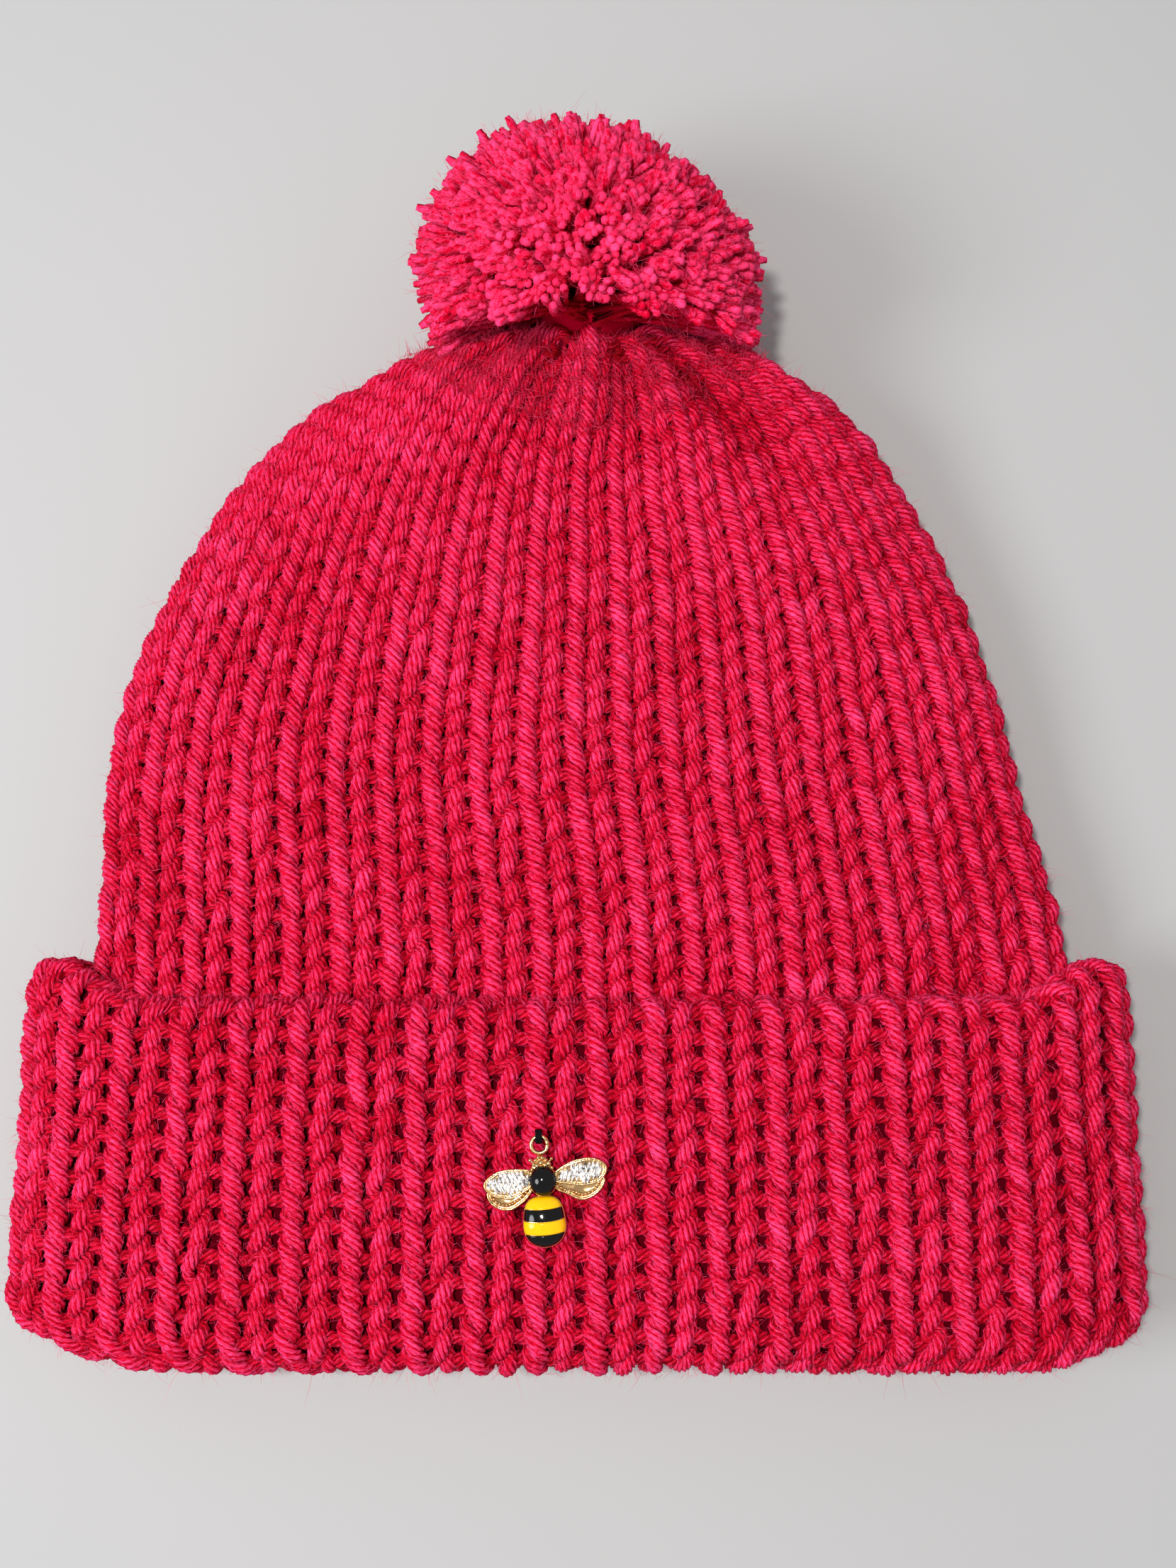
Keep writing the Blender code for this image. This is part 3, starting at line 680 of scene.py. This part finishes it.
def pom(yarn, fuzz, dark):
    """The ball of cut yarn: strands that spread from the tie, with frayed ends."""
    rng = np.random.default_rng(SEED + 1)
    root = np.array(POM_ROOT)
    centre = np.array(POM_CENTRE)
    ways = sphere_directions(2500)
    ways = unit(ways + rng.normal(size=ways.shape) * 0.03)
    clumps = unit(sphere_directions(330) + rng.normal(size=(330, 3)) * 0.05)
    ways = unit(ways + 0.30 * (clumps[np.argmax(ways @ clumps.T, axis=1)] - ways))
    front = smooth(ways[:, 2], 0.25, 0.95)
    back = smooth(-ways[:, 2], 0.25, 0.95)
    middle = np.exp(-(ways[:, 0] / 0.30) ** 2)
    lowest = -0.32 + front * (0.12 * middle - 0.14) + 0.10 * back
    ways = ways[ways[:, 1] > lowest + rng.normal(size=len(ways)) * 0.03]
    count = len(ways)
    length = POM_RADIUS * (0.965 + 0.032 * np.clip(rng.normal(size=count), -2.0, 1.0))
    length -= 1.6 * (rng.random(count) < 0.15)
    length *= 1.0 - 0.13 * smooth(ways @ np.array([0.62, 0.78, 0.0]), 0.55, 1.0)
    length *= 1.0 - 0.06 * smooth(ways[:, 1], 0.75, 1.0)
    length *= 1.0 + 0.06 * smooth(ways @ np.array([-0.74, 0.67, 0.0]), 0.6, 1.0)
    length *= 1.0 - 0.05 * smooth(np.abs(ways[:, 0]), 0.75, 1.0) * smooth(-ways[:, 1], -0.15, 0.10)
    below = np.minimum(ways[:, 1:2], 0.0)
    tips = centre + ways * length[:, None]
    tips[:, (0, 2)] += (ways * length[:, None] * ((1.0 - below ** 2) ** -0.30 - 1.0))[:, (0, 2)]
    tips[:, 2] = np.maximum(tips[:, 2], 1.6)
    starts = root + rng.normal(size=(count, 3)) * 2.0
    out = unit(tips - starts)
    curl = rng.normal(size=(count, 3)) * 1.9
    curl -= (curl * out).sum(-1, keepdims=True) * out
    bow = np.cross(out, np.cross(np.array([0.0, 1.0, 0.0]), out))
    t = np.array([0.05, 0.25, 0.42, 0.56, 0.68, 0.78, 0.86, 0.93, 0.98, 1.0])
    girth = np.array([0.62, 0.66, 0.72, 0.80, 0.87, 0.93, 0.99, 1.04, 1.00, 0.70])
    apart = np.array([0.50, 0.53, 0.58, 0.64, 0.70, 0.76, 0.84, 0.92, 0.98, 1.02])
    per_piece = 380
    pieces = []
    for first in range(0, count, per_piece):
        tubes = Tubes(6, 6, groove=0.0, flat=1.0)
        for k in range(first, min(first + per_piece, count)):
            line = starts[k] + (tips[k] - starts[k]) * t[:, None]
            line = line + np.sin(math.pi * t)[:, None] * (bow[k] * 2.6 + curl[k])
            line = line + (np.sin(5.5 * t + 6.0 * rng.random()) * 0.35 * t)[:, None] * curl[k]
            side = unit(np.cross(out[k], rng.normal(size=3)))
            other = np.cross(out[k], side)
            tone = 0.5 + 0.20 * rng.normal()
            # Painted shade: each strand is darker towards the tie, deep inside the ball, and paler towards its
            # tip.
            depth = -0.15 + 1.15 * smooth(t, 0.40, 0.97)
            size = girth * rng.uniform(0.85, 1.15)
            for ply in range(POM_PLIES):
                turn = math.tau * ply / POM_PLIES + 2.6 * t
                loose = apart * rng.uniform(0.75, 1.3)
                ply_line = (line + (loose * np.cos(turn))[:, None] * side
                            + (loose * np.sin(turn))[:, None] * other)
                ply_line[:, 2] = np.maximum(ply_line[:, 2], 0.9)
                ply_line[-3:] += out[k] * rng.normal() * np.array([[0.35], [0.7], [1.0]])
                normal = np.broadcast_to(side, line.shape)
                tubes.add(ply_line, normal, size, tone + 0.08 * rng.normal(), depth, False, 0.35,
                          rng.uniform(0, 6))
        piece = tubes.make(f"pom_strands_{len(pieces) + 1}", yarn)
        pieces.append(belongs(piece, "pom"))
    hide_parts("pom_ball")

    many = 18
    spread = rng.normal(size=(count * many, 3))
    out_many = np.repeat(out, many, axis=0)
    back_off = rng.uniform(0.0, 3.5, (count * many, 1))
    where = np.repeat(tips, many, axis=0) + spread * 0.9 - out_many * back_off
    way = out_many + spread * 0.7
    lengths = rng.gamma(3.0, 0.42, count * many)
    keep = (where[:, 2] > 1.2) & (where[:, 2] + way[:, 2] * lengths > 1.2)
    for k in range(2):
        half = keep & (np.arange(len(keep)) % 2 == k)
        hairs(f"pom_fuzz_{k + 1}", where[half], way[half], lengths[half], rng, fuzz, "pom")

    # A dark red lump inside the strands: painted shade, so the gaps between strands look shaded deep inside
    # the ball.
    core = sphere_directions(700)
    bumps = (CORE_RADIUS + 1.2 * np.sin(core @ np.array([9.0, 3.0, 5.0]))
             + 0.8 * np.sin(core @ np.array([-4.0, 11.0, 7.0])))
    low = smooth(core[:, 1], -0.5, 0.6)
    points = centre + np.array([0.0, 4.0, -5.0]) + core * (bumps * (0.50 + 0.20 * low))[:, None]
    hull_object("pom_core", points, dark, "pom")


def hull_object(name, points, material, body):
    """A closed lump round these points."""
    mesh = bpy.data.meshes.new(name)
    bm = bmesh.new()
    for point in points:
        bm.verts.new(Vector(point) * MM)
    bmesh.ops.convex_hull(bm, input=bm.verts)
    bmesh.ops.delete(bm, geom=[v for v in bm.verts if not v.link_faces], context="VERTS")
    bmesh.ops.recalc_face_normals(bm, faces=bm.faces)
    bm.to_mesh(mesh)
    bm.free()
    mesh.shade_smooth()
    mesh.materials.append(material)
    return belongs(add_object(name, mesh), body)


def circle(centre, radius, axis_turn, count=40):
    """A ring of points; axis_turn lays the XY circle in its plane."""
    angle = np.arange(count) * math.tau / count
    flat = np.stack([np.cos(angle), np.sin(angle), np.zeros(count)], -1) @ np.array(axis_turn).T
    return np.array(centre) + flat * radius


def trefoil(centre, size, count=90):
    """A tied knot's line."""
    t = np.arange(count) * math.tau / count
    line = np.stack([np.sin(t) + 2 * np.sin(2 * t), -np.sin(3 * t), np.cos(t) - 2 * np.cos(2 * t)], -1)
    return np.array(centre) + line * size / 3.0


def single_yarn(name, lines, radius, material, body, replaced, around=18, plies=PLIES,
                pitch=TWIST_PITCH):
    """A piece made of a few yarns, each a closed or open line of points."""
    tubes = Tubes(around, plies)
    for line, closed in lines:
        normal = unit(line - line.mean(0) + np.array([0.0, 0.0, 1e-3]))
        tubes.add(line, normal, radius, 0.5, 0.55, closed, math.tau / pitch)
    made = belongs(tubes.make(name, material), body)
    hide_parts(replaced)
    return made


def ties(yarn):
    """The gathering yarns, the yarn tied round the strands, and the knot inside the hat."""
    upright = Matrix.Rotation(math.radians(90), 3, "X")
    x, y, z = place((0.0, 229.2, 0.0))
    single_yarn("crown_gather", [(circle((x, y, z), 6.3, upright, 60), True)], 1.25, yarn, "hat",
                "crown_gather_yarn")
    x, y, z = place((0.0, 219.1, 0.0))
    single_yarn("lining_gather", [(circle((x, y, z), 3.9, upright, 40), True)], 0.95, yarn, "hat",
                "lining_gather_yarn")
    x, _, z = place((0.0, 225.0, 0.0))
    mouth = -HAT_LENGTH / 2
    wraps = [(circle((x, y + mouth, z), 3.7, upright, 40), True) for y in (233.6, 235.2, 236.8)]
    for side in (-1, 1):
        steps = np.linspace(238.0, 219.6, 24)
        wave = 0.5 * np.sin(steps * 0.9)
        tail = np.stack([x + side * 0.75 * np.cos(wave), steps + mouth, z + side * 0.75 * np.sin(wave)], -1)
        wraps.append((tail, False))
    single_yarn("pom_tie", wraps, 0.72, yarn, "pom_tie", "pom_tie_yarn", around=12)
    x, y, z = place((0.0, 213.0, 0.0))
    single_yarn("inner_knot", [(trefoil((x, y, z), 2.9), True)], 0.95, yarn, "hat", "pom_knot",
                around=12)


# ---------------------------------------------------------------- bee charm

def charm_place(points):
    """Upright charm points (x, y, height over the cuff) to the frame, in millimetres."""
    points = np.asarray(points, float)
    turn = np.array(Matrix.Rotation(CHARM_TILT, 3, "Z"))
    return points @ turn.T + np.array(CHARM_AT)


def closed_curve(points, count):
    """A smooth closed curve through a few points, evenly spaced."""
    points = np.array(points, float)
    n = len(points)
    fine = []
    for k in range(n):
        p0, p1, p2, p3 = (points[(k + i - 1) % n] for i in range(4))
        for t in np.arange(24) / 24:
            fine.append(between(p0, p1, p2, p3, t))
    fine = np.array(fine + [fine[0]])
    length = np.concatenate([[0.0], np.cumsum(np.linalg.norm(np.diff(fine, axis=0), axis=1))])
    at = np.linspace(0.0, length[-1], count, endpoint=False)
    return np.stack([np.interp(at, length, fine[:, k]) for k in range(2)], -1)


class Shells:
    """Collects closed shells for one mesh object, in charm millimetres."""

    def __init__(self):
        self.verts, self.quads, self.caps, self.tones, self.count = [], [], [], [], 0

    def loft(self, rings):
        """A solid through closed rings of points, bottom to top, with both ends filled."""
        rings = np.array(rings)
        rows, k = rings.shape[:2]
        self.quads.append(ring_quads(rows - 1, k) + self.count)
        self.caps.append(self.count + np.arange(k)[::-1])
        self.caps.append(self.count + (rows - 1) * k + np.arange(k))
        self.verts.append(rings.reshape(-1, 3))
        self.tones.append(np.full(rows * k, 0.5))
        self.count += rows * k

    def plate(self, outline, low, high, edge=0.25, dish=0.0):
        """A plate with rounded edges; dish sinks its middle."""
        outline = np.array(outline)
        middle = outline.mean(0)
        rings = []
        for step in range(5):
            angle = math.pi * step / 4 - math.pi / 2
            shrink = edge * (1.0 - math.cos(angle))
            height = (low + high) / 2 + (high - low) / 2 * math.sin(angle)
            rings.append(self.level(outline, middle, shrink, height))
        for inset, sink in ((0.35, 0.0), (0.5, dish)):
            if dish:
                rings.append(self.level(outline, middle, edge + inset, high - sink))
        self.loft(rings)

    @staticmethod
    def level(outline, middle, shrink, height):
        """The outline moved in by shrink, at one height."""
        inward = middle - outline
        reach = np.linalg.norm(inward, axis=1, keepdims=True)
        moved = outline + inward / reach * np.minimum(shrink, reach * 0.9)
        return np.column_stack([moved, np.full(len(moved), height)])

    def wire(self, line, radius, sides=8, closed=True):
        """A round wire along a line of points."""
        ahead = np.roll(line, -1, 0) - np.roll(line, 1, 0)
        if not closed:
            ahead[0], ahead[-1] = line[1] - line[0], line[-1] - line[-2]
        ahead = unit(ahead)
        side = unit(np.cross(ahead, np.array([0.0, 0.0, 1.0])))
        up = np.cross(side, ahead)
        turn = -np.arange(sides) * math.tau / sides
        ring = line[:, None] + radius * (np.cos(turn)[None, :, None] * side[:, None]
                                         + np.sin(turn)[None, :, None] * up[:, None])
        if closed:
            ring = np.vstack([ring, ring[:1]])
        self.loft(ring)

    def ball(self, centre, radius, steps=8, sides=12):
        """A small round bead."""
        rings = []
        turn = np.arange(sides) * math.tau / sides
        for k in range(steps + 1):
            lift = -math.pi / 2 + math.pi * (k + 0.15) / (steps + 0.3)
            around = radius * math.cos(lift)
            rings.append(np.column_stack([
                centre[0] + around * np.cos(turn), centre[1] + around * np.sin(turn),
                np.full(sides, centre[2] + radius * math.sin(lift))]))
        self.loft(rings)

    def make(self, name, material, slot, replaced=(), flat=False):
        """The finished object, in place."""
        verts = charm_place(np.concatenate(self.verts))
        made = mesh_object(name, verts, np.concatenate(self.quads), tone=np.concatenate(self.tones),
                           material=material, caps=self.caps)
        if flat:
            made.data.shade_flat()
        belongs(made, "charm")
        if replaced:
            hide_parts(*replaced)
        return made


UPPER_RIGHT = ((2.9, -6.0), (5.5, -4.4), (8.6, -3.6), (11.3, -3.8), (13.4, -5.2), (13.2, -6.9), (11.6, -8.3),
               (8.8, -8.8), (5.6, -8.3), (2.9, -7.6))
UPPER_LEFT = ((-2.3, -5.4), (-5.4, -4.8), (-8.8, -5.0), (-11.4, -6.4), (-11.9, -8.0), (-10.2, -9.6),
              (-6.9, -10.4), (-4.3, -9.5), (-2.3, -8.0))
LOWER_RIGHT = ((2.9, -7.2), (6.0, -7.4), (12.5, -7.6), (12.3, -9.6), (10.2, -11.3), (7.7, -11.7), (5.0, -10.3),
               (3.0, -9.2))
LOWER_LEFT = ((-2.3, -7.6), (-6.0, -9.0), (-11.0, -8.8), (-11.1, -10.8), (-9.4, -12.3), (-7.0, -12.7),
              (-4.5, -11.5), (-2.5, -9.5))
WING_HIGH = 2.1
LOW_WING_HIGH = 1.5
HEAD_AT = (0.25, -7.4)
HEAD_HALF = (2.85, 3.1)
TAIL_AT = (-0.1, -15.75)
TAIL_HALF = (4.3, 5.15)
TAIL_WIDER = 0.14           # the abdomen is wider below its middle
TAIL_FLOOR = 1.75
TAIL_RISE = 2.3
BANDS = (("bee_band_upper", 1, -0.985, -0.50, "yellow_band_upper"),
         ("bee_band_middle", 0, -0.47, -0.02, "black_band"),
         ("bee_band_lower", 1, 0.02, 0.50, "yellow_band_lower"), ("bee_tip", 0, 0.53, 0.985, "black_tip"))


def egg(along, grow=0.0):
    """Half the abdomen's width this far along it, from -1 at the top to 1 at the tip."""
    along = np.clip(along, -1.0, 1.0)
    blunt = np.where(along < 0.0, (1.0 - along ** 4) ** 0.36, np.sqrt(1.0 - along ** 2))
    return (TAIL_HALF[0] + grow) * blunt * (1.0 + TAIL_WIDER * along)


def dome_rows(start, stop, rise, floor, grow, rows=10, columns=25):
    """Rings across the domed abdomen between two places along it, sagging in the middle as the bands do."""
    rings = []
    for along in np.linspace(start, stop, rows):
        turn = np.linspace(0.0, math.pi, columns)
        across = np.cos(turn)
        bent = np.clip(along - 0.10 * (1.0 - along ** 2) * across ** 2, -0.995, 0.995)
        half = egg(bent, grow)
        x = TAIL_AT[0] + half * across
        y = TAIL_AT[1] - bent * (TAIL_HALF[1] + grow)
        high = floor + rise * np.sin(turn) ** 0.85 * np.sqrt(np.maximum(1.0 - bent ** 2, 0.02))
        rings.append(np.column_stack([x, y, high]))
    return rings


def charm(gold, black, yellow, stone, thread):
    """The gold bee with its enamel, rhinestones and hanging ring, and its black thread."""
    casting = Shells()
    turn = np.arange(48) * math.tau / 48
    tail = np.column_stack([TAIL_AT[0] + egg(np.cos(turn), 0.28) * np.sign(np.sin(turn)),
                            TAIL_AT[1] - np.cos(turn) * (TAIL_HALF[1] + 0.28)])
    casting.plate(tail, 0.5, TAIL_FLOOR + 0.1, 0.3)
    casting.loft(dome_rows(-0.97, 0.97, TAIL_RISE - 0.14, TAIL_FLOOR - 0.1, 0.0, 24))
    head = np.column_stack([HEAD_AT[0] + (HEAD_HALF[0] + 0.22) * np.sin(turn),
                            HEAD_AT[1] + (HEAD_HALF[1] + 0.22) * np.cos(turn)])
    casting.plate(head[::-1], 0.5, TAIL_FLOOR + 0.15, 0.3)
    ring = circle((0.0, 0.0, RING_HEIGHT), RING_RADIUS, Matrix.Identity(3), 40)
    casting.wire(ring, 0.46, 12)
    collar = closed_curve(((-1.0, -2.6), (0.1, -2.2), (1.2, -2.6), (1.75, -3.5), (2.2, -4.9), (0.1, -5.6),
                           (-2.0, -4.9), (-1.55, -3.5)), 48)
    casting.plate(collar[::-1], 0.9, 1.75, 0.25)
    for x, y, radius in ((-1.45, -4.0, 0.42), (-1.05, -3.1, 0.34), (-0.35, -2.6, 0.42), (0.45, -2.7, 0.42),
                         (1.15, -3.2, 0.36), (1.75, -4.0, 0.42), (-0.75, -4.2, 0.5), (0.1, -3.7, 0.55),
                         (0.95, -4.2, 0.5), (-1.9, -4.9, 0.36), (2.3, -4.9, 0.36), (0.1, -4.6, 0.5)):
        casting.ball((x, y, 1.85), radius * 1.15)
    for side in (-1, 1):
        feeler = np.array([(0.1 + side * 0.5, -4.9), (0.1 + side * 1.3, -3.9), (0.1 + side * 2.15, -3.1)])
        line = np.column_stack([np.interp(np.linspace(0, 2, 9), range(3), feeler[:, 0]),
                                np.interp(np.linspace(0, 2, 9), range(3), feeler[:, 1]), np.full(9, 2.0)])
        casting.wire(line, 0.2, 6, closed=False)
        casting.ball((0.1 + side * 2.25, -3.0, 2.0), 0.4)
    beads = Shells()
    for upper, lower in ((UPPER_RIGHT, LOWER_RIGHT), (UPPER_LEFT, LOWER_LEFT)):
        outline = closed_curve(lower, 72)
        casting.plate(outline, 0.55, LOW_WING_HIGH - 0.25, 0.2, dish=0.15)
        rim = np.column_stack([outline, np.full(72, LOW_WING_HIGH - 0.28)])
        casting.wire(rim, 0.27)
        inner = Shells.level(outline, outline.mean(0), 1.0, LOW_WING_HIGH)
        for k in range(0, 72, 3):
            beads.ball(inner[k], 0.36, steps=6, sides=10)
        outline = closed_curve(upper, 80)
        casting.plate(outline, 1.1, WING_HIGH - 0.25, 0.2, dish=0.12)
        rim = np.column_stack([outline, np.full(80, WING_HIGH - 0.22)])
        casting.wire(rim, 0.25)
    casting.make("bee_gold", gold, "gold", replaced=["bee_casting"])
    beads.make("bee_beads", gold, "gold")

    dome = Shells()
    rings = []
    for k in range(9):
        lift = math.pi / 2 * k / 8.5
        rings.append(np.column_stack([
            HEAD_AT[0] + HEAD_HALF[0] * math.cos(lift) * np.cos(turn),
            HEAD_AT[1] + HEAD_HALF[1] * math.cos(lift) * np.sin(turn),
            np.full(48, TAIL_FLOOR + 0.2 + 2.1 * math.sin(lift))]))
    dome.loft(rings)
    dome.make("bee_head", black, "black_enamel", replaced=["head_enamel"])
    for name, is_yellow, start, stop, node in BANDS:
        band = Shells()
        band.loft(dome_rows(start, stop, TAIL_RISE, TAIL_FLOOR + 0.05, 0.05))
        band.make(name, yellow if is_yellow else black, "yellow_enamel" if is_yellow else "black_enamel",
                  replaced=[node])

    rng = np.random.default_rng(SEED + 2)
    for outline, side in ((UPPER_RIGHT, "right"), (UPPER_LEFT, "left")):
        stones = Shells()
        bed = closed_curve(outline, 80)
        for x, y in stone_places(bed):
            rhinestone(stones, x, y, 12 if side == "right" else -14, rng)
        nodes = [f"crystal_{side}_{k:02d}" for k in range(1, 11)]
        stones.make(f"bee_stones_{side}", stone, "crystal", replaced=nodes, flat=True)

    loops = []
    for k in range(5):
        angle = np.arange(28) * math.tau / 28
        sway = 0.10 * math.sin(2.1 * k)
        line = np.column_stack([
            np.full(28, -0.52 + 0.26 * k) + 0.06 * np.sin(angle * 2 + k),
            RING_RADIUS + (1.32 + sway) * np.cos(angle),
            RING_HEIGHT + 1.15 * np.sin(angle)])
        loops.append((charm_place(line), True))
    single_yarn("thread_bundle", loops, 0.2, thread, "thread_loop", "charm_thread", 9, 3, 2.2)
    x, y, _ = charm_place((0.0, RING_RADIUS, 0.0))
    single_yarn("thread_knot", [(trefoil((x, y, CUFF_FRONT - 3.0), 1.0, 60), True)], 0.3, thread, "hat",
                "charm_thread_knot", 9, 3, 2.2)


def stone_places(bed):
    """Staggered places for the stones inside a wing's outline."""
    places = []
    for row, y in enumerate(np.arange(bed[:, 1].min() + 0.75, bed[:, 1].max() - 0.4, 0.98)):
        for x in np.arange(bed[:, 0].min(), bed[:, 0].max(), 0.88):
            x += 0.44 * (row % 2)
            if inside(bed, x, y, 0.72):
                places.append((x, y))
    return places


def inside(outline, x, y, margin):
    """Whether a point lies inside an outline, this far from its edge."""
    dx, dy = outline[:, 0] - x, outline[:, 1] - y
    angle = np.unwrap(np.arctan2(dy, dx))
    winds = abs(angle[-1] - angle[0]) > math.pi
    return winds and np.hypot(dx, dy).min() > margin


def rhinestone(shells, x, y, lean, rng):
    """One long stone with a ridge of facets."""
    lean = math.radians(lean + rng.normal() * 3.0)
    turn = np.arange(8) * math.tau / 8
    rings = []
    for grow, height in ((1.0, 0.0), (1.0, 0.14), (0.42, 0.55)):
        along = 0.86 * grow * np.cos(turn)
        wide = 0.40 * grow * np.sin(turn) * (0.75 + 0.25 * np.abs(np.sin(turn)))
        rings.append(np.column_stack([
            x + along * math.sin(lean) + wide * math.cos(lean),
            y + along * math.cos(lean) - wide * math.sin(lean),
            np.full(8, WING_HIGH - 0.3 + height)]))
    first = shells.count
    shells.loft(np.array(rings)[:, ::-1])
    # Random greys for each stone's points, which the stone material turns into painted reflections on the
    # facets.
    shells.tones[-1] = rng.random(shells.count - first)


# ---------------------------------------------------------------- charm and fibre materials

def plain_material(name, colour, roughness, metallic=0.0, bump=0.15, coat=0.0, vary=0.25, specular=0.5):
    """Cast or poured surface: slight colour and roughness changes and a fine unevenness."""
    made, shader, nodes, links = new_material(name)
    where = nodes.new("ShaderNodeTexCoord")
    noise = nodes.new("ShaderNodeTexNoise")
    noise.inputs["Scale"].default_value = 900.0
    noise.inputs["Detail"].default_value = 4.0
    links.new(where.outputs["Object"], noise.inputs["Vector"])
    darker = tuple(c * (1.0 - vary) for c in colour[:3]) + (1.0,)
    tint = ramp_node(nodes, links, noise.outputs["Fac"], (0.3, darker), (0.7, colour))
    links.new(tint, shader.inputs["Base Color"])
    rough = math_node(nodes, links, "MULTIPLY_ADD", noise.outputs["Fac"], roughness * 0.8, roughness * 0.6)
    links.new(rough, shader.inputs["Roughness"])
    shader.inputs["Metallic"].default_value = metallic
    shader.inputs["Coat Weight"].default_value = coat
    shader.inputs["Coat Roughness"].default_value = 0.04
    shader.inputs["Specular IOR Level"].default_value = specular
    lift = nodes.new("ShaderNodeBump")
    lift.inputs["Strength"].default_value = bump
    lift.inputs["Distance"].default_value = 0.0002
    links.new(noise.outputs["Fac"], lift.inputs["Height"])
    links.new(lift.outputs["Normal"], shader.inputs["Normal"])
    return made


def glint_stone_material():
    """Silver-backed glass stones with painted reflections: each facet its own grey, from near black to white,
    for the dark and bright things it would mirror.
    """
    made, shader, nodes, links = new_material("rhinestone")
    where = nodes.new("ShaderNodeTexCoord")
    noise = nodes.new("ShaderNodeTexNoise")
    noise.inputs["Scale"].default_value = 1500.0
    noise.inputs["Detail"].default_value = 1.0
    links.new(where.outputs["Object"], noise.inputs["Vector"])
    mix = math_node(nodes, links, "MULTIPLY_ADD", noise.outputs["Fac"], 1.1, -0.55)
    mix = math_node(nodes, links, "ADD", mix, attribute(nodes, "tone"))
    tint = ramp_node(nodes, links, mix, (0.10, (0.03, 0.02, 0.02, 1)), (0.30, (0.45, 0.43, 0.44, 1)),
                     (0.48, (1.0, 0.99, 0.97, 1)))
    links.new(tint, shader.inputs["Base Color"])
    shader.inputs["Metallic"].default_value = 0.25
    shader.inputs["Roughness"].default_value = 0.10
    shader.inputs["Coat Weight"].default_value = 1.0
    shader.inputs["Coat Roughness"].default_value = 0.02
    return made


def fuzz_material():
    """Loose single fibres."""
    made, shader, nodes, links = new_material("loose_fibre")
    tint = ramp_node(nodes, links, attribute(nodes, "tone"), (0.3, (0.62, 0.002, 0.05, 1)),
                     (0.9, (1.0, 0.08, 0.24, 1)))
    links.new(tint, shader.inputs["Base Color"])
    shader.inputs["Roughness"].default_value = 0.6
    return made


def knit_fuzz(cloth, name, count, courses, rng, material, pleat=None, radius=0.04, tones=(0.3, 0.9)):
    """Loose fibres standing off the knitted face."""
    wale = rng.uniform(0, WALES, count)
    course = rng.uniform(courses[0], courses[1], count)
    height = rng.uniform(0.6, 2.5, count)
    if pleat is not None:
        height = height + pleat(wale, course)
    starts, normals = cloth.at(wale, course, height)
    ways = normals * rng.uniform(0.1, 0.8, (count, 1)) + rng.normal(size=(count, 3)) * 0.7
    lengths = rng.gamma(3.5, 0.50, count)
    keep = (starts[:, 2] > 1.0) & (starts[:, 2] + unit(ways)[:, 2] * lengths > 0.6)
    return hairs(name, starts[keep], ways[keep], lengths[keep], rng, material, "hat",
                 radius, tones)


bpy.context.scene.view_settings.view_transform = "Standard"
stage()
# Yarn ramps run from shaded deep red to lit pale pink; painted shade and light pick along them, with random
# tone.
PINK = yarn_material("pink_yarn", (0.24, 0.0, 0.004, 1), (0.70, 0.0, 0.026, 1), (1.0, 0.075, 0.27, 1))
POM_PINK = yarn_material("pom_yarn", (0.42, 0.0, 0.010, 1), (0.72, 0.0, 0.034, 1), (0.96, 0.06, 0.22, 1), 2)
# Painted shade inside the pom-pom.
POM_CORE_SHADE = painted_shade_material("pom_core_shade", (0.30, 0.0, 0.008, 1), (0.60, 0.0, 0.03, 1))
# Painted shade for the holes between stitches.
HOLE_SHADE = painted_shade_material("knit_hole_shade", (0.06, 0.0, 0.003, 1), (0.18, 0.0, 0.01, 1))
FUZZ = fuzz_material()
hat(PINK, HOLE_SHADE, FUZZ)
pom(POM_PINK, FUZZ, POM_CORE_SHADE)
ties(POM_PINK)
charm(
    plain_material("gold", (1.0, 0.62, 0.27, 1), 0.16, metallic=1.0, bump=0.5, vary=0.35),
    plain_material("black_enamel", (0.002, 0.0015, 0.0015, 1), 0.08, bump=0.05, specular=0.35),
    plain_material("yellow_enamel", (1.0, 0.52, 0.0, 1), 0.10, bump=0.05, coat=0.3, vary=0.1, specular=0.2),
    glint_stone_material(),
    plain_material("black_thread", (0.003, 0.0025, 0.003, 1), 0.8, bump=0.6, vary=0.6, specular=0.15))
